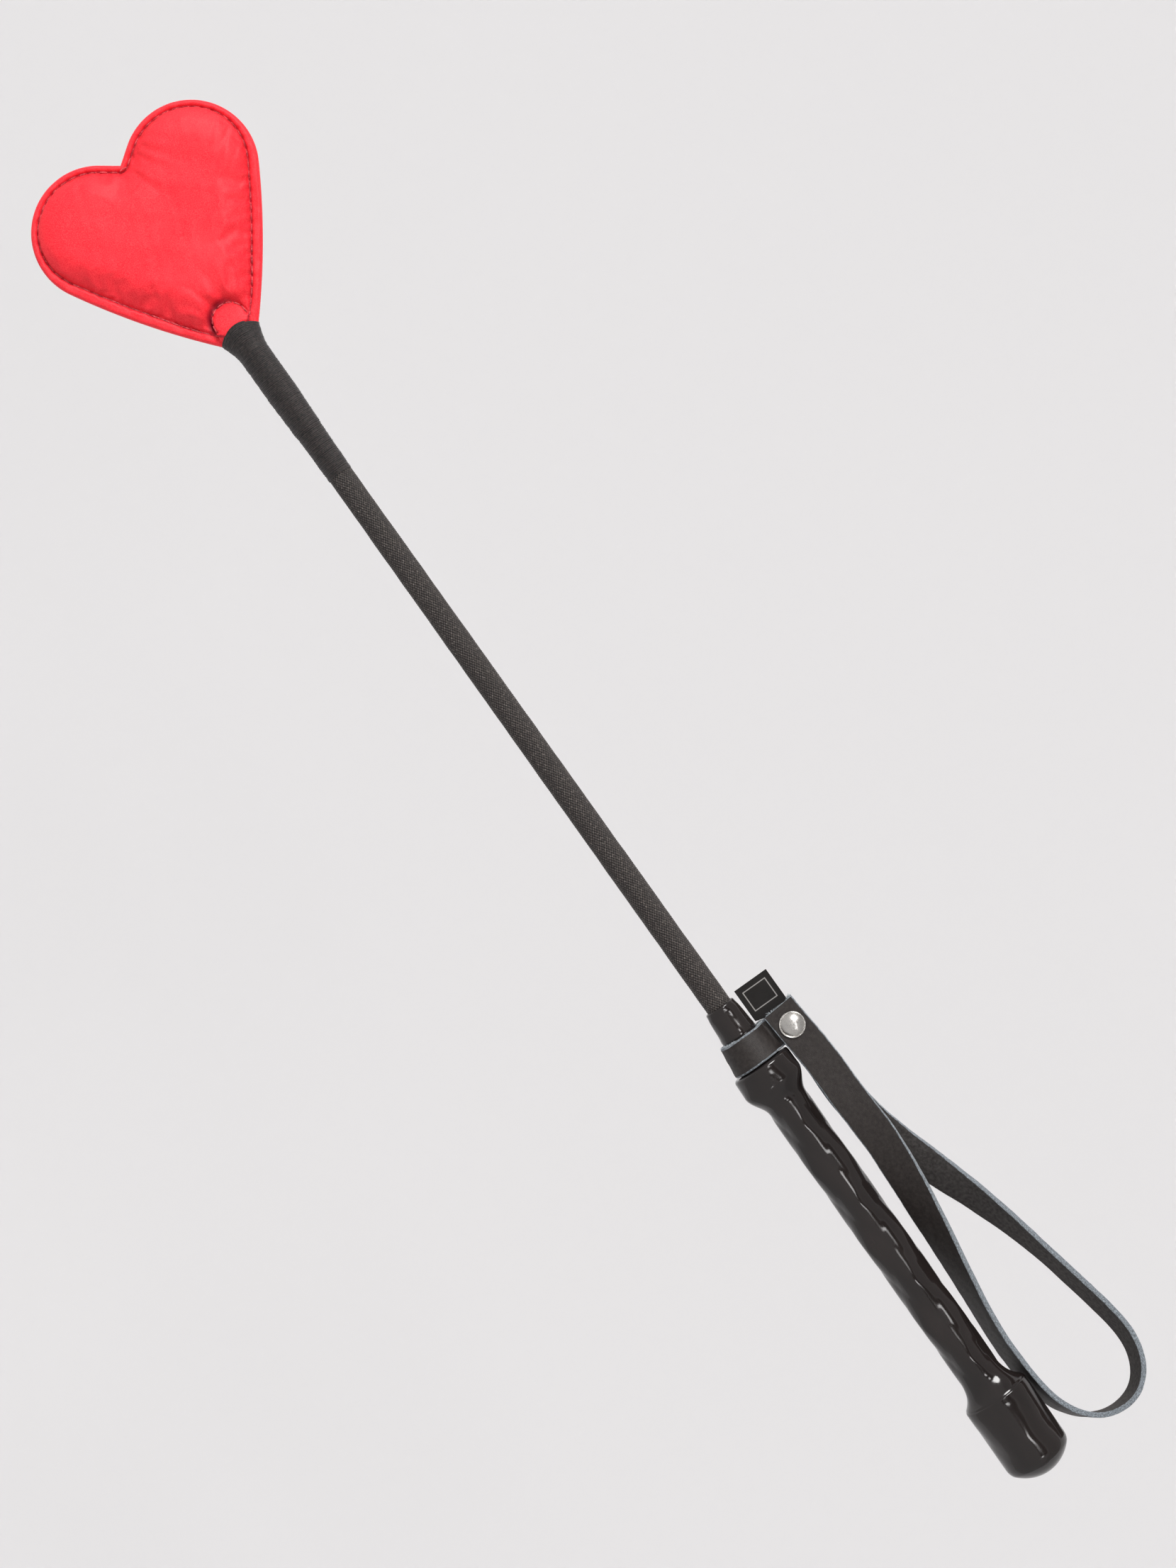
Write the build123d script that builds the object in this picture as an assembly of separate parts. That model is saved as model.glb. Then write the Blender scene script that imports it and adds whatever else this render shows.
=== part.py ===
from build123d import *
import math
import os

# Riding crop with a padded heart-shaped tip and a leather wrist loop.
# Frame: millimetres. The crop's axis is X, from the centre of the rounded butt
# end (x = 0) to the heart (x about 480). The heart lies flat, its face up (+Z).
# The wrist loop lies beside the handle on the -Y side.

# ---- driving dimensions -------------------------------------------------------
# moulded handle
CAP_R = 10.4
CAP_DOME = 5.7
CAP_END = 28.0
CAP_RIM_R = 10.0
GRIP_R = 6.45
GRIP_START = 35.7
GRIP_END = 133.5
SHOULDER_R = 9.45
SHOULDER_START = 141.2
SHOULDER_END = 147.2
SHOULDER_ROUND = 1.0
NECK_R_LOW = 6.65
NECK_R_HIGH = 5.45
NECK_END = 157.7
BEAD_R = 5.75
BEAD_LENGTH = 1.2
FERRULE_R = 4.85
FERRULE_END = 168.1
FERRULE_LIP = 0.6

# shaft
ROD_R = 2.0
JACKET_R = 3.3
BRAID_R_LOW = 4.0
BRAID_R_HIGH = 3.75
SHAFT_START = 40.0
BRAID_END = 376.6
JACKET_END = 405.0
ROD_END = 409.0

# thread bindings that hold the heart on the shaft
BIND_START = 360.8
BIND_STEP = 377.0
BIND_THROAT = 405.0
BIND_END = 412.2
TAIL_BIND_R = 4.2
MAIN_BIND_R = 4.8
THROAT_HALF_WIDTH = 6.8
THROAT_HALF_HEIGHT = 5.0
HEART_NECK_R = 4.0

# heart
LOBE_R = 20.0
LOBE_X = 460.5
LOBE_Y = 16.8
LOBE_TANGENT = 119.5      # where the side leaves the lobe, degrees from +X
THROAT_X = 411.0
THROAT_Y = 5.8
NOTCH_X = 473.0
BOARD_INSET = 3.4
BOARD_HALF = 0.5
COVER = 0.45
PAD_INSET = 3.6
PAD_HEIGHT = 4.2
PAD_ROUND = 3.6
FLEX_X = 416.0
FLEX_R = 3.2

# stitching
THREAD_R = 0.22
STITCH_INSET = 2.4
STITCH_PITCH = 3.1
STITCH_LENGTH = 2.1
ARCH_R = 5.4
ARCH_X = 416.7
ARCH_PITCH = 2.7

# leather
LEATHER = 1.6
FIT = 0.05                # running clearance between collar and neck
COLLAR_START = 147.6
COLLAR_END = 157.4
TAIL_GAP = 0.4
TAIL_END = 19.4
TAIL_SLOPE = 60.0         # how steeply each tail leaves the neck, degrees
STRAP_WIDTH = 10.6
LAP_GAP = 0.05
LAP_END = 6.6
LAP_ANGLE = 4.5           # the loop leaves the rivet slightly away from the handle
HINGE_D = 8.6             # rivet to the crease where the loop flexes
HINGE_R = 3.9
HINGE_GAP = 0.2

# rivet and label
RIVET_X = 151.5
RIVET_Y = -14.5
POST_R = 1.5
HEAD_R = 4.0
HEAD_RIM = 0.6
HEAD_HEIGHT = 1.7
BACK_R = 3.6
LABEL_Y_IN = -8.4
LABEL_Y_FREE = -6.2
LABEL_Y_OUT = -17.7
LABEL_START = 148.4
LABEL_END = 169.0

# wrist loop: centre line from the crease round the wrist and back
EDGE_Z = -4.9
LOOP_ROUTE = [
    (131.0, -15.6, 2.5),
    (108.0, -16.2, 1.6),
    (88.0, -14.6, -0.2),
    (66.0, -13.0, -2.8),
    (45.0, -12.3, -4.6),
    (27.0, -12.6, EDGE_Z),
    (13.0, -15.2, EDGE_Z),
    (3.6, -23.2, EDGE_Z),
    (3.4, -35.0, EDGE_Z),
    (13.0, -42.6, EDGE_Z),
    (30.0, -42.8, EDGE_Z),
    (60.0, -35.0, EDGE_Z),
    (88.0, -25.0, -4.6),
    (112.0, -17.6, -3.6),
    (131.0, -15.4, -2.8),
]
TWIST_FROM = 0.17         # share of the half loop where the strap starts to turn on edge
TWIST_TO = 0.72
LOOP_SECTIONS = 41


# ---- helpers ------------------------------------------------------------------
def save(part, name):
    """Write one node as STEP."""
    part.label = name
    export_step(part, f"parts/{name}.step")


def tube(x0, x1, r_out0, r_out1, r_in=0.0):
    """A solid or hollow cone along X."""
    length = x1 - x0
    place = Pos((x0 + x1) / 2, 0, 0) * Rot(0, 90, 0)
    if abs(r_out0 - r_out1) < 1e-6:
        body = Cylinder(r_out0, length)
    else:
        body = Cone(r_out0, r_out1, length)
    if r_in > 0:
        body -= Cylinder(r_in, length + 2)
    return place * body


def smooth(value):
    """A soft step from 0 to 1."""
    value = min(1.0, max(0.0, value))
    return value * value * (3 - 2 * value)


# ---- handle -------------------------------------------------------------------
def handle_grip():
    """One glossy moulding: domed cap, straight grip, shoulder, neck and ferrule."""
    dome_r = (CAP_R ** 2 + CAP_DOME ** 2) / (2 * CAP_DOME)
    lean = math.asin(CAP_R / dome_r) / 2
    dome_mid = (dome_r * (1 - math.cos(lean)), dome_r * math.sin(lean))
    bead_end = NECK_END + BEAD_LENGTH
    with BuildPart() as grip:
        with BuildSketch(Plane.XY):
            with BuildLine():
                ThreePointArc((0, 0), dome_mid, (CAP_DOME, CAP_R))
                Line((CAP_DOME, CAP_R), (CAP_END - 1.0, CAP_R))
                Line((CAP_END - 1.0, CAP_R), (CAP_END, CAP_RIM_R))
                TangentArc((GRIP_START, GRIP_R), (CAP_END, CAP_RIM_R), tangent=(-1, 0))
                Line((GRIP_START, GRIP_R), (GRIP_END, GRIP_R))
                Spline(
                    (GRIP_END, GRIP_R),
                    ((GRIP_END + SHOULDER_START) / 2, (GRIP_R + SHOULDER_R) / 2 - 0.3),
                    (SHOULDER_START, SHOULDER_R),
                    tangents=[(1, 0), (1, 0)],
                )
                edge = SHOULDER_END - SHOULDER_ROUND
                Line((SHOULDER_START, SHOULDER_R), (edge, SHOULDER_R))
                TangentArc((edge, SHOULDER_R), (SHOULDER_END, SHOULDER_R - SHOULDER_ROUND), tangent=(1, 0))
                Polyline(
                    (SHOULDER_END, SHOULDER_R - SHOULDER_ROUND),
                    (SHOULDER_END, NECK_R_LOW),
                    (NECK_END, NECK_R_HIGH),
                    (NECK_END, BEAD_R),
                    (bead_end, BEAD_R),
                    (FERRULE_END - FERRULE_LIP, FERRULE_R),
                )
                TangentArc(
                    (FERRULE_END - FERRULE_LIP, FERRULE_R),
                    (FERRULE_END, FERRULE_R - FERRULE_LIP),
                    tangent=(1, -0.05),
                )
                Polyline(
                    (FERRULE_END, FERRULE_R - FERRULE_LIP),
                    (FERRULE_END, BRAID_R_LOW),
                    (SHAFT_START, BRAID_R_LOW),
                    (SHAFT_START, 0),
                    (0, 0),
                )
            make_face()
        revolve(axis=Axis.X)
    return grip.part


# ---- heart --------------------------------------------------------------------
def heart_face():
    """The flat outline: a sharp notch, two round lobes, two gently bowed sides."""
    turn = math.radians(LOBE_TANGENT)
    leave = (LOBE_X + LOBE_R * math.cos(turn), LOBE_Y + LOBE_R * math.sin(turn))
    heading = (-math.sin(turn), math.cos(turn))
    reach = math.hypot(NOTCH_X - LOBE_X, LOBE_Y)
    meet = math.acos(LOBE_R / reach) - math.atan2(LOBE_Y, NOTCH_X - LOBE_X)
    join = (LOBE_X + LOBE_R * math.cos(meet), LOBE_Y + LOBE_R * math.sin(meet))
    middle = (meet + turn) / 2
    top = (LOBE_X + LOBE_R * math.cos(middle), LOBE_Y + LOBE_R * math.sin(middle))
    with BuildSketch() as sketch:
        with BuildLine():
            Line((NOTCH_X, 0), join)
            ThreePointArc(join, top, leave)
            TangentArc(leave, (THROAT_X, THROAT_Y), tangent=heading)
            Line((THROAT_X, THROAT_Y), (THROAT_X, 0))
            mirror(about=Plane.XZ)
        make_face()
    return sketch.sketch


def heart_plate(inset, low, high, rounding=0.0):
    """A heart-shaped slab, its outline stepped in by inset."""
    face = offset(heart_face(), amount=-inset) if inset > 0 else heart_face()
    slab = extrude(Pos(0, 0, low) * face, amount=high - low)
    if rounding > 0:
        slab = fillet(slab.faces().sort_by(Axis.Z)[-1].edges(), rounding)
    return slab


def flex_nose(part):
    """Round the heart's throat end about the flex line, so that it can bend there."""
    width = 200.0
    beyond = Pos(FLEX_X + width / 2, 0, 0) * Box(width, width, 40)
    nose = Pos(FLEX_X, 0, 0) * Rot(90, 0, 0) * Cylinder(FLEX_R, width)
    return part & (beyond + nose)


def stitch(x, y, z, heading, length=STITCH_LENGTH):
    """One short length of thread lying on a face, along heading in degrees."""
    return Pos(x, y, z) * Rot(0, 0, heading) * Rot(0, 90, 0) * Cylinder(THREAD_R, length)


def edge_stitches():
    """The run of stitches round the heart, on both faces."""
    wire = offset(heart_face(), amount=-STITCH_INSET).face().outer_wire()
    count = round(wire.length / STITCH_PITCH)
    lift = BOARD_HALF + COVER + THREAD_R
    stitches = []
    for index in range(count):
        spot = wire.position_at(index / count)
        along = wire.tangent_at(index / count)
        if spot.X < ARCH_X + 1.0:
            continue
        heading = math.degrees(math.atan2(along.Y, along.X))
        stitches.append(stitch(spot.X, spot.Y, lift, heading))
        stitches.append(stitch(spot.X, spot.Y, -lift, heading))
    return stitches


# ---- leather ------------------------------------------------------------------
def collar_section(x, neck_r):
    """The collar's strip as cut by a plane across the neck: round it, then two tails."""
    slope = math.radians(TAIL_SLOPE)
    inner = neck_r + FIT
    outer = inner + LEATHER
    v_in = TAIL_GAP / 2
    v_out = v_in + LEATHER

    def corner(radius, v):
        return (radius - v * math.cos(slope)) / math.sin(slope)

    def touch(radius):
        return (radius * math.sin(slope), radius * math.cos(slope))

    with BuildSketch(Plane(origin=(x, 0, 0), x_dir=(0, -1, 0), z_dir=(-1, 0, 0))) as sketch:
        with BuildLine():
            for radius, v in ((outer, v_out), (inner, v_in)):
                u, w = touch(radius)
                Line((TAIL_END, v), (corner(radius, v), v))
                Line((corner(radius, v), v), (u, w))
                ThreePointArc((u, w), (-radius, 0), (u, -w))
                Line((u, -w), (corner(radius, v), -v))
                Line((corner(radius, v), -v), (TAIL_END, -v))
            Line((TAIL_END, v_in), (TAIL_END, v_out))
            Line((TAIL_END, -v_in), (TAIL_END, -v_out))
        make_face()
    return sketch.sketch


def on_rivet(part):
    """Place a piece drawn about the rivet, its x toward the wrist loop."""
    return Pos(RIVET_X, RIVET_Y, 0) * Rot(0, 0, 180 + LAP_ANGLE) * part


def from_rivet(d, z):
    """A point on the loop's straight lap, d from the rivet toward the loop."""
    turn = math.radians(LAP_ANGLE)
    return Vector(RIVET_X - d * math.cos(turn), RIVET_Y - d * math.sin(turn), z)


def lap(z_mid):
    """One end of the wrist loop under the rivet head, up to the crease."""
    length = LAP_END + HINGE_D
    strip = Pos((HINGE_D - LAP_END) / 2, 0, z_mid) * Box(length, STRAP_WIDTH, LEATHER)
    strip -= Pos(HINGE_D, 0, 0) * Rot(90, 0, 0) * Cylinder(HINGE_R + HINGE_GAP, 40)
    strip -= Cylinder(POST_R, 20)
    return on_rivet(strip)


def loop_solid(z_mid):
    """The loop from crease to crease: flat at the rivet, on edge round the wrist."""
    straight_end = HINGE_D + 4.0
    start = from_rivet(straight_end, z_mid)
    finish = from_rivet(straight_end, -z_mid)
    outward = (start - from_rivet(0, z_mid)).normalized()
    route = Spline(start, *LOOP_ROUTE, finish, tangents=[outward, outward * -1])
    sections = []
    for index in range(LOOP_SECTIONS):
        share = index / (LOOP_SECTIONS - 1)
        spot = route.position_at(share)
        along = route.tangent_at(share)
        half = 1 - abs(2 * share - 1)
        turned = smooth((half - TWIST_FROM) / (TWIST_TO - TWIST_FROM)) * 90
        lean = math.radians(turned if share < 0.5 else 180 - turned)
        side = along.cross(Vector(0, 0, 1)).normalized()
        up = side.cross(along)
        normal = up * math.cos(lean) + side * math.sin(lean)
        plane = Plane(origin=spot, x_dir=along.cross(normal), z_dir=along)
        sections.append(plane * Rectangle(STRAP_WIDTH, LEATHER))
    loop = loft(sections)
    for z in (z_mid, -z_mid):
        reach = HINGE_R + straight_end - HINGE_D
        end = Pos(straight_end - reach / 2, 0, z) * Box(reach, STRAP_WIDTH, LEATHER)
        keep = Pos(HINGE_D, 0, 0) * Rot(90, 0, 0) * Cylinder(HINGE_R, 40)
        keep += Pos(HINGE_D + 10, 0, 0) * Box(20, 40, 20)
        loop += on_rivet(end & keep)
    return loop


# ---- nodes --------------------------------------------------------------------
os.makedirs("parts", exist_ok=True)

save(handle_grip(), "handle_grip")
save(tube(SHAFT_START, ROD_END, ROD_R, ROD_R), "core_rod")
save(tube(SHAFT_START, JACKET_END, JACKET_R, JACKET_R, ROD_R), "core_jacket")
braid = tube(SHAFT_START, FERRULE_END, BRAID_R_LOW, BRAID_R_LOW, JACKET_R)
braid += tube(FERRULE_END, BIND_START, BRAID_R_LOW, BRAID_R_HIGH, JACKET_R)
braid += tube(BIND_START, BRAID_END, BRAID_R_HIGH, BRAID_R_HIGH, JACKET_R)
save(braid, "braided_cover")

save(tube(BIND_START, BIND_STEP, TAIL_BIND_R, TAIL_BIND_R, BRAID_R_HIGH), "tail_binding")
save(tube(BIND_STEP, BIND_THROAT, MAIN_BIND_R, MAIN_BIND_R, HEART_NECK_R), "main_binding")
throat_plane = Plane(origin=(BIND_THROAT, 0, 0), x_dir=(0, 1, 0), z_dir=(1, 0, 0))
front_plane = Plane(origin=(BIND_END, 0, 0), x_dir=(0, 1, 0), z_dir=(1, 0, 0))
throat = loft([
    throat_plane * Ellipse(MAIN_BIND_R + 0.01, MAIN_BIND_R),
    front_plane * Ellipse(THROAT_HALF_WIDTH, THROAT_HALF_HEIGHT),
])
throat -= tube(BIND_THROAT - 1, BIND_END + 1, HEART_NECK_R, HEART_NECK_R)
save(throat, "throat_binding")
heart_neck = tube(BIND_STEP, JACKET_END, HEART_NECK_R, HEART_NECK_R, JACKET_R)
heart_neck += tube(JACKET_END, BIND_END, HEART_NECK_R, HEART_NECK_R, ROD_R)
save(heart_neck, "heart_neck")

save(flex_nose(heart_plate(BOARD_INSET, -BOARD_HALF, BOARD_HALF)), "heart_board")
pad = heart_plate(PAD_INSET, BOARD_HALF, BOARD_HALF + PAD_HEIGHT, PAD_ROUND)
skin = heart_plate(0, BOARD_HALF, BOARD_HALF + COVER)
skin += heart_plate(PAD_INSET - COVER, BOARD_HALF, BOARD_HALF + PAD_HEIGHT + COVER, PAD_ROUND + COVER)
skin -= pad
pad = flex_nose(pad)
skin = flex_nose(skin)
save(pad, "heart_pad_front")
save(mirror(pad, about=Plane.XY), "heart_pad_back")
save(skin, "heart_cover_front")
save(mirror(skin, about=Plane.XY), "heart_cover_back")
save(Compound(children=edge_stitches()), "edge_stitching")

arch_height = BOARD_HALF + COVER + PAD_HEIGHT + THREAD_R
arch_count = round(math.pi * ARCH_R / ARCH_PITCH)
arch = []
for index in range(arch_count + 1):
    angle = -90 + 180 * index / arch_count
    x = ARCH_X + ARCH_R * math.cos(math.radians(angle))
    y = ARCH_R * math.sin(math.radians(angle))
    for side in (1, -1):
        arch.append(stitch(x, y, side * arch_height, angle + 90, STITCH_LENGTH - 0.2))
save(Compound(children=arch), "arch_stitching")

collar = loft([
    collar_section(COLLAR_START, NECK_R_LOW - 0.04),
    collar_section(COLLAR_END, NECK_R_HIGH + 0.04),
], ruled=True)
post_hole = Pos(RIVET_X, RIVET_Y, 0) * Cylinder(POST_R, 40)
collar -= post_hole
save(collar, "strap_collar")

lap_mid = TAIL_GAP / 2 + LEATHER + LAP_GAP + LEATHER / 2
save(lap(lap_mid), "loop_end_front")
save(lap(-lap_mid), "loop_end_back")
save(loop_solid(lap_mid), "wrist_loop")

label_depth = LABEL_Y_IN - LABEL_Y_OUT
label = Pos((LABEL_START + LABEL_END) / 2, LABEL_Y_OUT + label_depth / 2, 0) \
    * Box(LABEL_END - LABEL_START, label_depth, TAIL_GAP)
free_start = COLLAR_END + 0.4
free_depth = LABEL_Y_FREE - LABEL_Y_OUT
label += Pos((free_start + LABEL_END) / 2, LABEL_Y_OUT + free_depth / 2, 0) \
    * Box(LABEL_END - free_start, free_depth, TAIL_GAP)
label -= post_hole
save(label, "label")

stack = lap_mid + LEATHER / 2
place = Pos(RIVET_X, RIVET_Y, 0)
save(place * Cylinder(POST_R, 2 * stack), "rivet_post")
dome_r = (HEAD_R ** 2 + HEAD_HEIGHT ** 2) / (2 * HEAD_HEIGHT)
head = Pos(0, 0, stack + HEAD_HEIGHT - dome_r) * Sphere(dome_r)
head &= Pos(0, 0, stack + HEAD_HEIGHT / 2) * Cylinder(HEAD_R, HEAD_HEIGHT)
rim = Pos(0, 0, stack + HEAD_RIM / 2) * (Cylinder(HEAD_R, HEAD_RIM) - Cylinder(HEAD_R - HEAD_RIM, HEAD_RIM))
save(place * (head + rim), "rivet_head")
back = Pos(0, 0, -stack - HEAD_RIM / 2) * Cylinder(BACK_R, HEAD_RIM)
save(place * back, "rivet_back")
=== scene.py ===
import math

import bmesh
import bpy
import numpy as np
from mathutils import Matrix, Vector


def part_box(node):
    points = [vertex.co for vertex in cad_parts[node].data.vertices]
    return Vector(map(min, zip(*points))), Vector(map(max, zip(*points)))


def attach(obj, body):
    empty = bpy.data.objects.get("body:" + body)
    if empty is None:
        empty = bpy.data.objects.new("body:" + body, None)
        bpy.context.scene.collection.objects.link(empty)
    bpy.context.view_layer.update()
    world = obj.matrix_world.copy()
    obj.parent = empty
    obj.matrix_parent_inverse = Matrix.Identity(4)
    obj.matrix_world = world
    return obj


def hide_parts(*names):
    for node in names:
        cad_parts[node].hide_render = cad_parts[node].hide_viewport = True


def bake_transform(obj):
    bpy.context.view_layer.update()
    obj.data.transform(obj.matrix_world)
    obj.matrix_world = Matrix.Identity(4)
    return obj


# Riding crop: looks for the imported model. Builders work in millimetres and
# mesh_piece turns them into metres. X runs from the butt to the heart, Z is up.

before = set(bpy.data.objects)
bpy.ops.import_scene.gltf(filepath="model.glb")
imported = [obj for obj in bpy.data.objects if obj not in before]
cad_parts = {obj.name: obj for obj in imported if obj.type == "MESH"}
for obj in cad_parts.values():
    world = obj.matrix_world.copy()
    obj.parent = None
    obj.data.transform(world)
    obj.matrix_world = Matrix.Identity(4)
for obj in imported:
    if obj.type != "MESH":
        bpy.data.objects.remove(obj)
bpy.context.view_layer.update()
MM = 0.001


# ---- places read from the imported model, in millimetres -------------------------
def span(node):
    """Lowest and highest corner of a CAD node in millimetres."""
    low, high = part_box(node)
    return np.array(low) / MM, np.array(high) / MM


handle_high = span("handle_grip")[1]
heart_high = span("heart_cover_front")[1]
board_high = span("heart_board")[1]
collar_low, collar_high = span("strap_collar")
tail_low, tail_high = span("tail_binding")
main_low, main_high = span("main_binding")
throat_low, throat_high = span("throat_binding")
head_low, head_high = span("rivet_head")
back_low, back_high = span("rivet_back")
label_low, label_high = span("label")
lap_low, lap_high = span("loop_end_front")

RIVET = np.array([(head_low[0] + head_high[0]) / 2, (head_low[1] + head_high[1]) / 2, 0.0])


# ---- mesh helpers ---------------------------------------------------------------
def mesh_piece(name, points, faces, materials, smooth=True, skin=None, face_slots=None):
    """A mesh object from points in millimetres; skin is a surface coordinate in millimetres."""
    mesh = bpy.data.meshes.new(name)
    mesh.from_pydata((np.asarray(points, float) * MM).tolist(), [], faces)
    for entry in materials:
        mesh.materials.append(entry)
    if face_slots is not None:
        mesh.polygons.foreach_set("material_index", np.asarray(face_slots, np.int32))
    mesh.polygons.foreach_set("use_smooth", np.full(len(mesh.polygons), smooth))
    if skin is not None:
        layer = mesh.attributes.new("skin", "FLOAT_VECTOR", "POINT")
        layer.data.foreach_set("vector", (np.asarray(skin, float) * MM).ravel())
    mesh.update()
    obj = bpy.data.objects.new(name, mesh)
    bpy.context.scene.collection.objects.link(obj)
    return obj


def shade_value(obj, name, values):
    """A number per point that a material can read."""
    layer = obj.data.attributes.new(name, "FLOAT", "POINT")
    layer.data.foreach_set("value", np.asarray(values, np.float32))


def grid_quads(rows, columns, close_rows=False, close_columns=False):
    """Quads of a grid whose points are stored row by row."""
    r = np.arange(rows if close_rows else rows - 1)
    c = np.arange(columns if close_columns else columns - 1)
    r, c = np.meshgrid(r, c, indexing="ij")
    r2 = (r + 1) % rows
    c2 = (c + 1) % columns
    corners = [r * columns + c, r * columns + c2, r2 * columns + c2, r2 * columns + c]
    return np.stack(corners, -1).reshape(-1, 4).tolist()


def tube_faces(rings, around, base):
    """Quads round a short tube whose points start at base, and a cap at each end."""
    faces = grid_quads(rings, around, close_columns=True)
    faces += [list(range(around)), list(range((rings - 1) * around, rings * around))]
    return [[base + k for k in face] for face in faces]


def tidy(obj, weld=0.0):
    """Weld doubled points and turn every face outward."""
    work = bmesh.new()
    work.from_mesh(obj.data)
    if weld > 0:
        bmesh.ops.remove_doubles(work, verts=work.verts, dist=weld * MM)
    bmesh.ops.recalc_face_normals(work, faces=work.faces)
    work.to_mesh(obj.data)
    work.free()
    return obj


def arc(centre_x, centre_r, radius, start, stop, count):
    """Points of a round stretch of a profile, angles in degrees."""
    turns = np.radians(np.linspace(start, stop, count))
    return [(centre_x + radius * math.cos(t), centre_r + radius * math.sin(t)) for t in turns]


def lathe(name, profile, materials, segments=160, about="x", centre=(0, 0, 0), uneven=None):
    """A turned shape from (along, radius) points; uneven gives a change of radius."""
    profile = np.array(profile, float)
    turns = np.linspace(0, 2 * math.pi, segments, endpoint=False)
    along = np.repeat(profile[:, 0], segments)
    radius = np.repeat(profile[:, 1], segments)
    turn = np.tile(turns, len(profile))
    if uneven is not None:
        radius = radius + uneven(along, turn)
    first = radius * np.cos(turn)
    second = radius * np.sin(turn)
    if about == "x":
        points = np.stack([along, first, second], -1)
    else:
        points = np.stack([first, second, along], -1)
    skin = np.stack([along, turn * radius.max(), np.zeros(len(along))], -1)
    faces = grid_quads(len(profile), segments, close_columns=True)
    obj = mesh_piece(name, points + np.array(centre), faces, materials, skin=skin)
    return tidy(obj, weld=0.004)


def soft_step(value):
    """From 0 to 1 with flat ends."""
    value = np.clip(value, 0, 1)
    return value * value * (3 - 2 * value)


def ripples(x, y, size, seed, waves=7):
    """Smooth uneven waves about size long, between about -1 and 1."""
    rng = np.random.default_rng(seed)
    total = np.zeros_like(np.asarray(x, float))
    for _ in range(waves):
        heading = rng.uniform(0, 2 * math.pi)
        length = size * rng.uniform(0.7, 1.6)
        phase = rng.uniform(0, 2 * math.pi)
        total += np.sin((x * math.cos(heading) + y * math.sin(heading)) * 2 * math.pi / length + phase)
    return total / math.sqrt(waves)


def resample(points, count, closed=False):
    """Evenly spaced points along a polyline."""
    points = np.asarray(points, float)
    if closed:
        points = np.vstack([points, points[:1]])
    steps = np.linalg.norm(np.diff(points, axis=0), axis=1)
    reach = np.concatenate([[0], np.cumsum(steps)])
    wanted = np.linspace(0, reach[-1], count, endpoint=not closed)
    return np.stack([np.interp(wanted, reach, points[:, k]) for k in range(points.shape[1])], -1)


def unit(vectors):
    """Vectors of length one, row by row."""
    return vectors / np.linalg.norm(vectors, axis=-1, keepdims=True)


def spline(points, start_heading, end_heading, count):
    """Smooth curve through points with given headings at its ends."""
    points = np.asarray(points, float)
    knots = np.concatenate([[0], np.cumsum(np.linalg.norm(np.diff(points, axis=0), axis=1))])
    gaps = np.diff(knots)
    size = len(points)
    system = np.zeros((size, size))
    known = np.zeros((size, 3))
    system[0, 0] = system[-1, -1] = 1
    known[0], known[-1] = start_heading, end_heading
    slopes = np.diff(points, axis=0) / gaps[:, None]
    for k in range(1, size - 1):
        system[k, k - 1] = gaps[k]
        system[k, k] = 2 * (gaps[k - 1] + gaps[k])
        system[k, k + 1] = gaps[k - 1]
        known[k] = 3 * (gaps[k] * slopes[k - 1] + gaps[k - 1] * slopes[k])
    speeds = np.linalg.solve(system, known)
    wanted = np.linspace(0, knots[-1], count)
    index = np.clip(np.searchsorted(knots, wanted, side="right") - 1, 0, size - 2)
    gap = gaps[index][:, None]
    t = (wanted - knots[index])[:, None] / gap
    return (
        points[index] * (2 * t ** 3 - 3 * t ** 2 + 1)
        + speeds[index] * gap * (t ** 3 - 2 * t ** 2 + t)
        + points[index + 1] * (-2 * t ** 3 + 3 * t ** 2)
        + speeds[index + 1] * gap * (t ** 3 - t ** 2)
    )


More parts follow.
